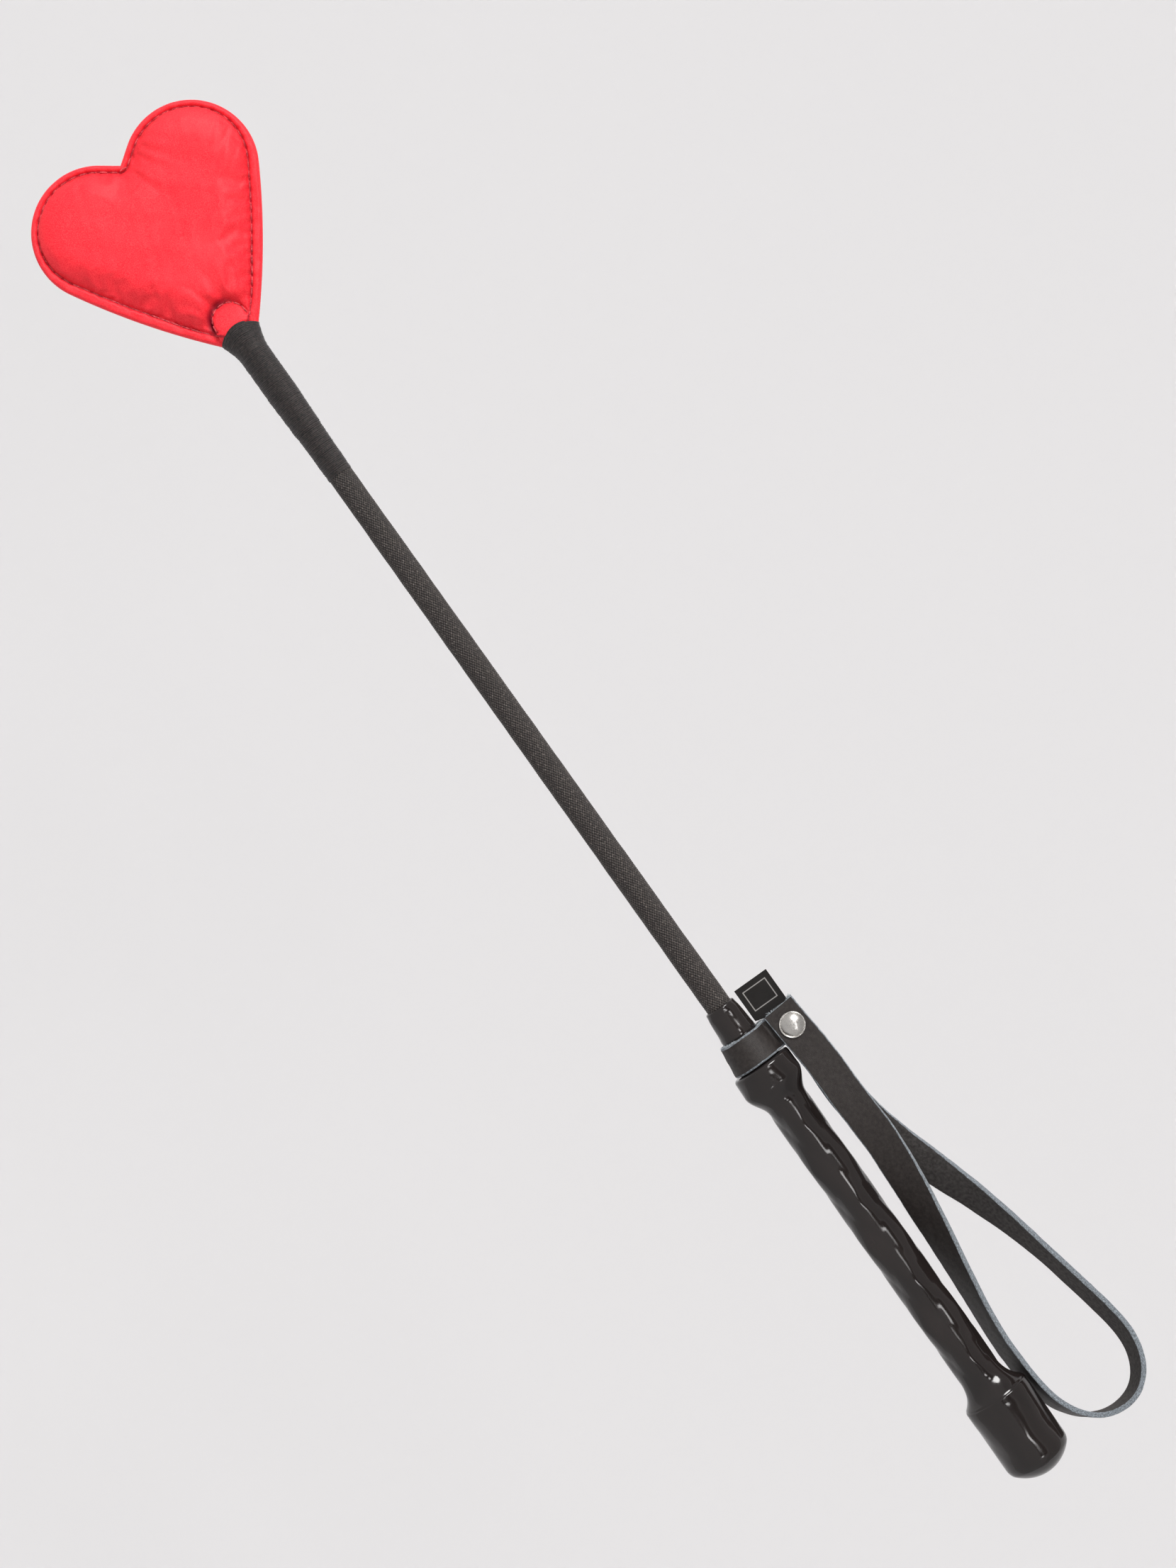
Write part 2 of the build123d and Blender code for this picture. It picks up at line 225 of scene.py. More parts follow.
# ---- material helpers -----------------------------------------------------------
class Shader:
    """A Principled material with short ways to add nodes."""

    def __init__(self, name, colour, roughness, **sockets):
        self.mat = bpy.data.materials.new(name)
        self.mat.use_nodes = True
        self.tree = self.mat.node_tree
        self.main = self.tree.nodes["Principled BSDF"]
        self.main.inputs["Base Color"].default_value = (*colour, 1)
        self.main.inputs["Roughness"].default_value = roughness
        for socket, value in sockets.items():
            self.main.inputs[socket.replace("_", " ")].default_value = value
        self.mat.diffuse_color = (*colour, 1)

    def node(self, kind, **settings):
        """A node with its properties and unlinked inputs set."""
        node = self.tree.nodes.new(kind)
        for key, value in settings.items():
            if key in node.inputs:
                node.inputs[key].default_value = value
            else:
                setattr(node, key, value)
        return node

    def link(self, source, target):
        self.tree.links.new(source, target)

    def place(self, stretch=(1, 1, 1), skin=False):
        """Surface coordinates in metres times stretch."""
        if skin:
            source = self.node("ShaderNodeAttribute", attribute_name="skin").outputs["Vector"]
        else:
            source = self.node("ShaderNodeTexCoord").outputs["Object"]
        scale = self.node("ShaderNodeMapping")
        scale.inputs["Scale"].default_value = stretch
        self.link(source, scale.inputs["Vector"])
        return scale.outputs["Vector"]

    def noise(self, where, scale, detail=3.0, roughness=0.55):
        node = self.node("ShaderNodeTexNoise", Scale=scale, Detail=detail, Roughness=roughness)
        self.link(where, node.inputs["Vector"])
        return node.outputs["Fac"]

    def cells(self, where, scale):
        """How far inside a cell of a cracked pattern."""
        node = self.node("ShaderNodeTexVoronoi", feature="DISTANCE_TO_EDGE")
        node.inputs["Scale"].default_value = scale
        self.link(where, node.inputs["Vector"])
        return node.outputs["Distance"]

    def bands(self, where, scale, direction="X", distortion=0.0):
        node = self.node("ShaderNodeTexWave", bands_direction=direction)
        node.inputs["Scale"].default_value = scale
        node.inputs["Distortion"].default_value = distortion
        self.link(where, node.inputs["Vector"])
        return node.outputs["Fac"]

    def value(self, name):
        return self.node("ShaderNodeAttribute", attribute_name=name).outputs["Fac"]

    def ramp(self, source, stops):
        """Colours or greys by a value: stops are (position, colour)."""
        node = self.node("ShaderNodeValToRGB")
        ramp = node.color_ramp
        while len(ramp.elements) < len(stops):
            ramp.elements.new(0.5)
        for element, (position, colour) in zip(ramp.elements, stops):
            element.position = position
            element.color = (*colour, 1) if len(colour) == 3 else (colour[0],) * 3 + (1,)
        self.link(source, node.inputs["Fac"])
        return node.outputs["Color"]

    def mix(self, factor, first, second):
        """A colour between two colours or outputs."""
        node = self.node("ShaderNodeMix", data_type="RGBA")
        for value, socket in ((factor, node.inputs[0]), (first, node.inputs[6]), (second, node.inputs[7])):
            if isinstance(value, tuple):
                socket.default_value = (*value, 1)
            elif isinstance(value, float):
                socket.default_value = value
            else:
                self.link(value, socket)
        return node.outputs[2]

    def to(self, output, socket):
        self.link(output, self.main.inputs[socket])

    def bumps(self, *layers):
        """Stack of (height output, strength, distance in millimetres)."""
        last = None
        for height, strength, distance in layers:
            node = self.node("ShaderNodeBump", Strength=strength, Distance=distance * MM)
            self.link(height, node.inputs["Height"])
            if last is not None:
                self.link(last, node.inputs["Normal"])
            last = node.outputs["Normal"]
        self.to(last, "Normal")


# ---- materials ------------------------------------------------------------------
def handle_material():
    """Glossy black moulded PVC with faint flow marks and fine rubbed scratches."""
    s = Shader("black_pvc", (0.0145, 0.0108, 0.0100), 0.13, Specular_IOR_Level=0.5)
    where = s.place()
    flow = s.noise(s.place((40, 160, 160)), 1.0, 4.0)
    s.to(s.ramp(flow, [(0.3, (0.011, 0.0085, 0.008)), (0.75, (0.018, 0.0135, 0.0125))]), "Base Color")
    rubbed = s.noise(s.place((60, 900, 900)), 1.0, 5.0, 0.7)
    s.to(s.ramp(rubbed, [(0.35, (0.10,)), (0.62, (0.15,)), (0.8, (0.24,))]), "Roughness")
    s.bumps((s.noise(where, 260, 2.0), 0.10, 0.12), (s.noise(where, 2600, 2.0), 0.05, 0.02))
    return s.mat


def braid_material():
    """Dark brown-grey plaited yarn: fine filaments along it and painted shade in the gaps."""
    s = Shader("braid_yarn", (0.03, 0.026, 0.023), 0.5, Specular_IOR_Level=0.45, Sheen_Weight=0.12)
    s.main.inputs["Sheen Roughness"].default_value = 0.5
    where = s.place(skin=True)
    tone = s.noise(s.place((1300, 1300, 1300)), 1.0, 4.0, 0.7)
    yarn = s.ramp(tone, [
        (0.36, (0.017, 0.011, 0.009)), (0.54, (0.047, 0.035, 0.030)), (0.68, (0.17, 0.145, 0.13)),
    ])
    # painted shade: the yarn colour darkens where the surface sinks between yarns
    gaps = s.ramp(s.value("height"), [(0.48, (0.04, 0.03, 0.025)), (0.92, (1.0, 1.0, 1.0))])
    shade = s.node("ShaderNodeMix", data_type="RGBA", blend_type="MULTIPLY")
    shade.inputs[0].default_value = 1.0
    s.link(yarn, shade.inputs[6])
    s.link(gaps, shade.inputs[7])
    s.to(shade.outputs[2], "Base Color")
    s.to(s.ramp(s.value("height"), [(0.2, (0.75,)), (0.95, (0.34,))]), "Roughness")
    strands = s.bands(where, 5200, "Y", 1.5)
    s.bumps((strands, 0.35, 0.03), (s.noise(where, 9000, 2.0), 0.25, 0.02))
    return s.mat


def thread_material(name, dark, light, twist):
    """Twisted thread, wound or sewn."""
    s = Shader(name, light, 0.5, Specular_IOR_Level=0.4, Sheen_Weight=0.15)
    tone = s.noise(s.place((1500, 1500, 1500)), 1.0, 4.0, 0.75)
    s.to(s.ramp(tone, [(0.38, dark), (0.66, light)]), "Base Color")
    where = s.place(skin=True)
    s.bumps((s.bands(where, twist, "DIAGONAL", 0.6), 0.5, 0.05), (s.noise(where, 8000, 2.0), 0.3, 0.02))
    return s.mat


def satin_material():
    """Bright red satin: fine floats across, soft sheen, and painted shade at the needle holes, along the
    seams and round the arch.
    """
    s = Shader("red_satin", (0.96, 0.026, 0.042), 0.52, Specular_IOR_Level=0.28, Sheen_Weight=0.25)
    s.main.inputs["Sheen Roughness"].default_value = 0.35
    s.main.inputs["Sheen Tint"].default_value = (1.0, 0.45, 0.42, 1)
    s.main.inputs["Anisotropic"].default_value = 0.45
    where = s.place(skin=True)
    mottle = s.noise(where, 3800, 3.0, 0.7)
    cloth = s.ramp(mottle, [
        (0.38, (0.86, 0.010, 0.026)), (0.5, (0.97, 0.026, 0.042)), (0.62, (1.0, 0.056, 0.066)),
    ])
    # painted shade: the "seam" value darkens the satin to deep crimson at the holes, in the seam grooves and
    # beside the seams
    dark = s.mix(s.value("seam"), cloth, (0.22, 0.0, 0.012))
    s.to(dark, "Base Color")
    s.to(s.ramp(mottle, [(0.3, (0.46,)), (0.7, (0.60,))]), "Roughness")
    floats = s.bands(s.place((1, 0.14, 1), skin=True), 3400, "X", 1.2)
    s.bumps((s.noise(where, 330, 3.0), 0.10, 0.10), (floats, 0.22, 0.03), (mottle, 0.5, 0.05))
    return s.mat


def leather_material(name, dark, light, rough, grain):
    """Dark leather; grain is how strongly the pebbles stand."""
    s = Shader(name, light, rough, Specular_IOR_Level=0.4)
    where = s.place(skin=True)
    tone = s.noise(where, 900, 4.0, 0.6)
    s.to(s.ramp(tone, [(0.34, dark), (0.68, light)]), "Base Color")
    pebble = s.cells(s.place((1.0, 0.62, 1.0), skin=True), 3600)
    s.to(s.ramp(pebble, [(0.02, (min(1.0, rough + 0.2),)), (0.25, (rough,))]), "Roughness")
    lifted = s.ramp(pebble, [(0.0, (0.0,)), (0.25, (1.0,))])
    s.bumps(
        (s.noise(where, 700, 4.0), 0.22 * grain, 0.08),
        (lifted, 0.45 * grain, 0.035),
        (s.noise(where, 6500, 3.0), 0.3 * grain, 0.02),
    )
    return s.mat


def cut_edge_material():
    """Raw leather edge: pale blue-grey fibres over dark."""
    s = Shader("leather_cut_edge", (0.16, 0.17, 0.19), 0.9, Specular_IOR_Level=0.2, Sheen_Weight=0.3)
    where = s.place(skin=True)
    fibres = s.noise(where, 1500, 6.0, 0.75)
    tone = s.ramp(fibres, [
        (0.35, (0.040, 0.038, 0.040)), (0.50, (0.16, 0.18, 0.20)), (0.70, (0.44, 0.50, 0.55)),
    ])
    s.to(tone, "Base Color")
    s.bumps((fibres, 0.8, 0.15), (s.noise(where, 6000, 3.0), 0.5, 0.04))
    return s.mat


def nickel_material():
    """Polished nickel with faint handling marks."""
    s = Shader("nickel", (0.66, 0.64, 0.61), 0.16, Metallic=1.0)
    where = s.place()
    marks = s.noise(where, 900, 6.0, 0.7)
    s.to(s.ramp(marks, [(0.3, (0.20,)), (0.7, (0.34,))]), "Roughness")
    tone = s.ramp(s.noise(where, 350, 3.0), [(0.3, (0.54, 0.525, 0.50)), (0.7, (0.66, 0.64, 0.61))])
    s.to(tone, "Base Color")
    s.bumps((s.noise(where, 700, 3.0), 0.12, 0.03),)
    return s.mat


def label_material():
    """Black woven tag with a plain grey woven frame."""
    s = Shader("woven_tag", (0.008, 0.007, 0.007), 0.65, Specular_IOR_Level=0.25)
    where = s.place(skin=True)
    ribs = s.bands(where, 2600, "X", 0.3)
    crossing = s.bands(where, 1500, "Y", 0.3)
    tone = s.ramp(ribs, [(0.2, (0.004, 0.0035, 0.0035)), (0.8, (0.015, 0.013, 0.012))])
    s.to(s.mix(s.value("frame"), tone, (0.30, 0.29, 0.28)), "Base Color")
    s.bumps((ribs, 0.5, 0.06), (crossing, 0.4, 0.05))
    return s.mat


def plain_inner(name, dark, light, rough, scale):
    """Inner pieces that hardly show: mottled stock."""
    s = Shader(name, light, rough)
    where = s.place()
    s.to(s.ramp(s.noise(where, scale, 4.0), [(0.3, dark), (0.7, light)]), "Base Color")
    s.bumps((s.noise(where, scale * 6, 3.0), 0.2, 0.05),)
    return s.mat


MAT = {
    "pvc": handle_material(),
    "braid": braid_material(),
    "binding": thread_material("binding_thread", (0.0020, 0.0011, 0.0010), (0.050, 0.037, 0.035), 3000),
    "satin": satin_material(),
    "seam": thread_material("seam_thread", (0.30, 0.003, 0.014), (0.95, 0.11, 0.13), 3600),
    "grain": leather_material("leather_grain", (0.012, 0.0085, 0.0075), (0.026, 0.0205, 0.0185), 0.44, 1.7),
    "flesh": leather_material("leather_flesh", (0.028, 0.025, 0.024), (0.066, 0.060, 0.058), 0.85, 0.6),
    "edge": cut_edge_material(),
    "fray": thread_material("leather_fibres", (0.34, 0.39, 0.42), (0.74, 0.80, 0.84), 4000),
    "nickel": nickel_material(),
    "label": label_material(),
    "rod": plain_inner("glass_rod", (0.55, 0.52, 0.40), (0.78, 0.75, 0.62), 0.35, 300),
    "jacket": plain_inner("rod_jacket", (0.03, 0.03, 0.03), (0.06, 0.06, 0.06), 0.5, 400),
    "board": plain_inner("fibre_board", (0.22, 0.17, 0.12), (0.36, 0.29, 0.22), 0.8, 500),
}


# ---- handle ---------------------------------------------------------------------
CAP_R, CAP_DOME, CAP_END, CAP_RIM_R = 10.4, 5.7, 28.0, 10.0
GRIP_R, GRIP_START, GRIP_END = 6.45, 35.7, 133.5
SHOULDER_R, SHOULDER_START, SHOULDER_END = 9.45, 141.2, 147.2
NECK_R_LOW, NECK_R_HIGH, NECK_END = 6.65, 5.45, 157.7
BEAD_R, BEAD_LENGTH, FERRULE_R = 5.75, 1.2, 4.85
BRAID_R_LOW, BRAID_R_HIGH = 4.0, 3.75


def handle_profile():
    """(x, radius) of the moulding from the dome to the inside of the ferrule's lip."""
    end = handle_high[0]
    dome_r = (CAP_R ** 2 + CAP_DOME ** 2) / (2 * CAP_DOME)
    lean = math.degrees(math.asin(CAP_R / dome_r))
    profile = arc(dome_r, 0, dome_r, 180, 180 - lean + 5, 22)
    edge = profile[-1]
    for share in np.linspace(0.15, 1, 7):
        turn = (1 - share) ** 2
        profile.append((edge[0] + (CAP_DOME + 1.6 - edge[0]) * share, CAP_R - (CAP_R - edge[1]) * turn))
    profile += [(x, CAP_R) for x in np.linspace(9.0, 26.0, 18)]
    profile += arc(CAP_END - 0.9, CAP_R - 0.7, 0.7, 90, 20, 6)
    flare_r = ((GRIP_START - CAP_END) ** 2 + (CAP_RIM_R - GRIP_R) ** 2) / (2 * (CAP_RIM_R - GRIP_R))
    low = math.degrees(math.asin((GRIP_START - CAP_END) / flare_r))
    profile += arc(GRIP_START, GRIP_R + flare_r, flare_r, 270 - low, 270, 16)
    profile += [(x, GRIP_R) for x in np.linspace(GRIP_START + 1, GRIP_END - 1, 90)]
    for share in np.linspace(0, 1, 18):
        profile.append((
            GRIP_END + (SHOULDER_START - GRIP_END) * share,
            GRIP_R + (SHOULDER_R - GRIP_R) * float(soft_step(share)) ** 1.1,
        ))
    profile += [(SHOULDER_START + 2.0, SHOULDER_R + 0.05), (SHOULDER_END - 2.0, SHOULDER_R + 0.05)]
    profile += arc(SHOULDER_END - 1.0, SHOULDER_R - 1.0, 1.0, 85, 0, 8)
    profile += [(SHOULDER_END, NECK_R_LOW + 0.2), (SHOULDER_END + 0.2, NECK_R_LOW - 0.03)]
    profile += [(NECK_END - 0.15, NECK_R_HIGH), (NECK_END, NECK_R_HIGH + 0.1)]
    profile += arc(NECK_END + 0.25, BEAD_R - 0.25, 0.25, 180, 90, 4)
    profile += [(NECK_END + BEAD_LENGTH, BEAD_R)]
    for share in np.linspace(0, 1, 16):
        x = NECK_END + BEAD_LENGTH + 0.8 + (end - NECK_END - BEAD_LENGTH - 2.0) * share
        profile.append((x, BEAD_R - 0.12 + (FERRULE_R + 0.18 - BEAD_R) * share))
    profile += arc(end - 0.6, FERRULE_R - 0.6, 0.6, 85, 0, 7)
    profile += [(end - 0.05, BRAID_R_LOW + 0.1), (end - 1.5, BRAID_R_LOW)]
    return profile


FACETS_ROUND = 3      # the moulding's shallow spiral facets: how many round it
FACET_STEP = 28.0     # and how far apart along it
GRIP_DEPTH, SHOULDER_DEPTH, FERRULE_DEPTH, CAP_DEPTH = 0.36, 0.16, 0.26, 0.22


def dipped(along, turn):
    """How far the spiral facets stand off the round; none where the collar sits."""

    def facets(direction):
        phase = FACETS_ROUND * turn + direction * 2 * math.pi * along / FACET_STEP
        return np.arcsin(0.98 * np.sin(phase)) / 1.37

    grip = soft_step((along - CAP_END) / 8.0) * soft_step((SHOULDER_END - 2.0 - along) / 4.0)
    shoulder = np.exp(-((along - GRIP_END - 2.0) / 7.0) ** 2)
    ferrule = soft_step((along - NECK_END - 0.5) / 2.5) * soft_step((handle_high[0] - 0.6 - along) / 2.0)
    cap = soft_step((along - 1.0) / 5.0) * soft_step((CAP_END - along) / 3.0)
    depth = GRIP_DEPTH * grip + SHOULDER_DEPTH * shoulder * grip + FERRULE_DEPTH * ferrule + CAP_DEPTH * cap
    wobble = 0.02 * ripples(along, turn * 6.0, 9.0, 62) * (grip + cap)
    return depth * (facets(1) + 0.75 * facets(-1)) + wobble


def make_handle():
    """The glossy moulding."""
    obj = lathe("handle_moulding", handle_profile(), [MAT["pvc"]], segments=192, uneven=dipped)
    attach(obj, "crop")
    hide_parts("handle_grip")


# ---- braided shaft ----------------------------------------------------------------
YARNS = 28            # each way round
YARN_PITCH = 1.22     # along the shaft, from one yarn to the next of its family
YARN_STEPS = 5        # points across one yarn
YARN_ROUND = 0.34
YARN_WAVE = 0.17


def make_braid():
    """Over-one plait: both yarn families on one grid that runs along the yarns."""
    start, end = handle_high[0] - 1.2, tail_low[0] + 1.2
    step = YARN_PITCH / (2 * YARN_STEPS)
    rows = int((end - start) / step)
    around = YARNS * YARN_STEPS
    row = np.repeat(np.arange(rows), around)
    column = np.tile(np.arange(around), rows)
    turn_index = 2 * column + row % 2
    u = (turn_index + row) / (2 * YARN_STEPS)
    v = (turn_index - row) / (2 * YARN_STEPS)
    over = np.floor(u) + v - 0.5
    under = u + np.floor(v) - 0.5

    def yarn(value):
        side = 2 * (value - np.floor(value)) - 1
        return YARN_ROUND * (np.sqrt(np.clip(1.15 - side ** 2, 0, None)) - 1)

    first = yarn(u) + YARN_WAVE * np.cos(over * math.pi)
    second = yarn(v) - YARN_WAVE * np.cos(under * math.pi)
    height = np.maximum(first, second)
    along = start + row * step
    share = np.clip((along - handle_high[0]) / (tail_low[0] - handle_high[0]), 0, 1)
    turn = 2 * math.pi * turn_index / (2 * around)
    uneven = 0.035 * ripples(along, turn * 4, 9.0, 5)
    radius = BRAID_R_LOW + (BRAID_R_HIGH - BRAID_R_LOW) * share + height - 0.12 + uneven
    points = np.stack([along, radius * np.cos(turn), radius * np.sin(turn)], -1)
    on_first = first > second
    lengthwise = np.where(on_first, u - v, u + v)
    across = np.where(on_first, u, v)
    skin = np.stack([lengthwise * 1.2, across, np.where(on_first, 0.0, 9.0)], -1)
    lift = (height - height.min()) / (height.max() - height.min())

    r = np.arange(rows - 2)[:, None]
    c = np.arange(around)[None, :]
    odd = r % 2
    left = (r + 1) * around + (c - 1 + odd) % around
    right = (r + 1) * around + (c + odd) % around
    faces = np.stack([r * around + c, right, (r + 2) * around + c, left], -1).reshape(-1, 4)
    obj = mesh_piece("braid", points, faces.tolist(), [MAT["braid"]], skin=skin)
    shade_value(obj, "height", lift)
    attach(obj, "crop")
    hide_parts("braided_cover")


# ---- thread bindings --------------------------------------------------------------
THREAD_PITCH = 0.5
THREAD_R = 0.29
AROUND_THREAD = 6     # points round the thread
THREAD_TURN = 72      # and in one turn of it
FRONT_BULGE = 2.3     # how far the last turns reach forward over the heart's crown


def wound(name, start, end, surface, seed, pitch=THREAD_PITCH):
    """Thread wound side by side from start to end; surface gives half width, half height and bow forward."""
    rounds = (end - start - 2 * THREAD_R) / pitch
    count = int(rounds * THREAD_TURN)
    index = np.arange(count)
    turn = 2 * math.pi * index / THREAD_TURN
    along = start + THREAD_R + pitch * index / THREAD_TURN
    along = along + 0.05 * ripples(along, turn * 0.15, 3.0, seed)
    half_width, half_height, bulge = surface(along)
    sag = 0.05 * ripples(along * 3, turn, 4.0, seed + 1)
    reach_y = (half_width - THREAD_R + sag) * np.cos(turn)
    reach_z = (half_height - THREAD_R + sag) * np.sin(turn)
    line = np.stack([along + bulge * np.sin(turn) ** 2, reach_y, reach_z], -1)
    out = unit(np.stack([np.zeros(count), np.cos(turn) / half_width, np.sin(turn) / half_height], -1))
    forward = np.array([1.0, 0, 0])
    spin = 2 * math.pi * np.arange(AROUND_THREAD) / AROUND_THREAD
    ring = THREAD_R * (
        np.cos(spin)[None, :, None] * out[:, None, :] + np.sin(spin)[None, :, None] * forward[None, None, :]
    )
    points = (line[:, None, :] + ring).reshape(-1, 3)
    length = np.repeat(turn * half_width, AROUND_THREAD)
    skin = np.stack([length, np.tile(spin * THREAD_R, count), np.zeros(len(length))], -1)
    obj = mesh_piece(name, points, tube_faces(count, AROUND_THREAD, 0), [MAT["binding"]], skin=skin)
    tidy(obj)
    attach(obj, "crop")
    return obj


def make_bindings():
    """Thin first layer, thicker second layer, and the flared throat."""
    tail_r = tail_high[2]
    main_r = main_high[2]
    throat_half = (throat_high - throat_low)[1:] / 2
    throat_start, throat_end = throat_low[0], throat_high[0]

    def layered(x):
        thick = tail_r + (main_r - tail_r) * soft_step((x - main_low[0] + 9.0) / 26.0)
        return thick + 0.06 * ripples(x, 0 * x, 9.0, 17)

    def tail(x):
        size = layered(x) - 0.10
        return size, size, np.zeros_like(x)

    def main(x):
        size = layered(x) + 0.12 * np.exp(-((x - main_low[0] - 1.2) / 1.6) ** 2)
        return size, size, np.zeros_like(x)

    def throat(x):
        share = np.clip((x - throat_start) / (throat_end - throat_start), 0, 1)
        wide = main_r + (throat_half[0] - main_r) * share ** 1.4
        high = main_r + (throat_half[1] - main_r) * share
        return wide, high, FRONT_BULGE * soft_step(share) ** 1.3

    obj = wound("tail_whipping", tail_low[0], main_low[0] + 1.6, tail, 11)
    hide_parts("tail_binding")
    obj = wound("main_whipping", main_low[0] - 0.1, throat_start + 1.4, main, 12)
    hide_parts("main_binding")
    obj = wound("throat_whipping", throat_start - 0.3, throat_end, throat, 13, pitch=0.34)
    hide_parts("throat_binding")


# ---- heart ------------------------------------------------------------------------
LOBE_R, LOBE_X, LOBE_Y, LOBE_TANGENT = 20.0, 460.5, 16.8, 119.5
NOTCH_X, THROAT_X, THROAT_Y = 473.0, 411.0, 5.8
LOBE_INSET, SIDE_INSET, THROAT_INSET = 2.1, 3.2, 2.7
LOBES_FROM, THROAT_TO = 470.0, 430.0                # between these the seam has its inset at the sides
STITCH_PITCH = 3.1
STITCH_REACH = 0.40                                 # half of what shows of a stitch, as a share of its pitch
STITCH_R = 0.21
ARCH_R, ARCH_X, ARCH_PITCH = 5.4, 416.7, 2.7
HEART_MIDDLE = np.array([450.0, 0.0])
FACES = ((1, 21), (-1, 31))                         # the side of the heart and its seed, front and back
HEART_AROUND = 640
MARGIN_ROLL, MARGIN_HEIGHT = 1.25, 1.45             # the rolled edge outside the stitches
STITCHED_HEIGHT, DOME_REACH = 1.1, 13.0             # where the padding starts and how far in it levels out


def heart_half():
    """One side of the outline from the throat to the notch."""
    turn = math.radians(LOBE_TANGENT)
    leave = np.array([LOBE_X + LOBE_R * math.cos(turn), LOBE_Y + LOBE_R * math.sin(turn)])
    inward = np.array([-math.cos(turn), -math.sin(turn)])
    chord = np.array([THROAT_X, THROAT_Y]) - leave
    side_r = chord @ chord / (2 * chord @ inward)
    centre = leave + inward * side_r
    first = math.atan2(THROAT_Y - centre[1], THROAT_X - centre[0])
    last = math.atan2(-inward[1], -inward[0])
    side = [centre + side_r * np.array([math.cos(a), math.sin(a)]) for a in np.linspace(first, last, 80)]
    reach = math.hypot(NOTCH_X - LOBE_X, LOBE_Y)
    meet = math.acos(LOBE_R / reach) - math.atan2(LOBE_Y, NOTCH_X - LOBE_X)
    lobe = [
        np.array([LOBE_X + LOBE_R * math.cos(a), LOBE_Y + LOBE_R * math.sin(a)])
        for a in np.linspace(turn, meet, 160)
    ]
    return np.array(side + lobe[1:] + [np.array([NOTCH_X, 0.0])])


def heart_outline(count):
    """Evenly spaced points round the heart, from the throat's middle."""
    half = heart_half()
    other = half[::-1][1:] * [1, -1]
    return resample(np.vstack([[[THROAT_X, 0.0]], half, other]), count, closed=True)


def sewn_edge(count):
    """The outline without the open throat."""
    outline = heart_outline(count)
    return outline[outline[:, 0] > THROAT_X + 0.05]


def distance(points, line):
    """Distance from each point to the nearest point of a dense line, a batch at a time."""
    batch = 2000
    nearest = []
    for start in range(0, len(points), batch):
        gap = np.linalg.norm(points[start:start + batch, None, :] - line[None, :, :], axis=-1)
        nearest.append(gap.min(1))
    return np.concatenate(nearest)


def seam_inset(x):
    """How far the stitches lie inside the edge."""
    lower = soft_step((LOBES_FROM - x) / 24.0)
    by_throat = soft_step((THROAT_TO - x) / 12.0)
    return LOBE_INSET + (SIDE_INSET - LOBE_INSET) * lower - (SIDE_INSET - THROAT_INSET) * by_throat


def seam_line():
    """The stitched line: the outline stepped in, from the throat round to the throat."""
    line = heart_outline(2400)
    along = unit(np.roll(line, -1, 0) - np.roll(line, 1, 0))
    step = seam_inset(line[:, 0])
    inner = line + step[:, None] * np.stack([along[:, 1], -along[:, 0]], -1)
    clear = distance(inner, sewn_edge(2400))
    keep = (clear > step - 0.09) & (inner[:, 0] > ARCH_X - 2.5)
    return inner[keep]


def arch_line():
    """The half-round seam at the throat."""
    turns = np.radians(np.linspace(-100, 100, 60))
    return np.stack([ARCH_X + ARCH_R * np.cos(turns), ARCH_R * np.sin(turns)], -1)


# soft folds that the stuffing leaves: from x, y to x, y, width and depth
CREASES = [
    (469.0, 1.0, 456.0, 5.5, 1.1, 0.12),
    (468.5, -2.0, 452.0, -8.0, 1.1, 0.26),
    (472.5, -6.0, 459.0, -12.5, 0.9, 0.30),
    (475.0, -8.0, 463.0, -15.5, 0.9, 0.26),
    (477.5, -11.0, 467.0, -18.0, 0.8, 0.18),
    (463.0, -32.5, 449.0, -15.0, 1.1, 0.34),
    (458.0, -33.0, 447.5, -19.5, 0.9, 0.26),
    (467.5, -31.0, 457.0, -19.0, 1.0, 0.20),
    (452.0, -31.0, 445.0, -21.0, 0.9, 0.18),
    (426.0, 3.0, 436.0, 7.0, 1.2, 0.28),
    (426.5, -1.0, 438.0, -2.5, 1.3, 0.26),
    (424.5, -5.5, 433.0, -10.0, 1.1, 0.28),
    (423.5, 6.0, 430.0, 11.0, 1.0, 0.26),
]


def crease_depth(x, y, side):
    """How far the folds push the cloth in."""
    total = np.zeros_like(x)
    for x0, y0, x1, y1, width, depth in CREASES:
        y0, y1 = y0 * side, y1 * side
        length = math.hypot(x1 - x0, y1 - y0)
        heading = ((x1 - x0) / length, (y1 - y0) / length)
        t = ((x - x0) * heading[0] + (y - y0) * heading[1]) / length
        off = (x - x0) * -heading[1] + (y - y0) * heading[0] + 0.35 * np.sin(t * 5)
        fade = np.clip(1 - t, 0, 1) * soft_step((t + 0.25) / 0.25)
        breadth = width * (0.7 + 0.9 * np.clip(t, 0, 1))
        fold = np.exp(-(off / breadth) ** 2)
        bulge = np.exp(-((off - 1.7 * breadth) / breadth) ** 2)
        total += depth * fade * (fold - 0.55 * bulge)
    return total


def rolled_margin(x, y, inset, past, seed):
    """The cord-like edge outside the stitches; past is the distance inward of them."""
    share = (MARGIN_ROLL - np.minimum(inset, MARGIN_ROLL)) / MARGIN_ROLL
    margin = MARGIN_HEIGHT * np.sqrt(np.clip(1 - share ** 2, 0, 1))
    margin = margin * (1 + 0.10 * ripples(x, y, 5.0, seed))
    return margin - 0.50 * np.exp(-(past / 0.50) ** 2)


def padded_crown(past):
    """The stuffed middle, which rises steeply inward of the stitches."""
    crown = heart_high[2] - SWELL
    rise = np.clip(past / DOME_REACH, 0, 1)
    dome = STITCHED_HEIGHT + (crown - STITCHED_HEIGHT) * (1 - (1 - rise) ** 3.4)
    return dome - 0.60 * np.exp(-(past / 0.50) ** 2)


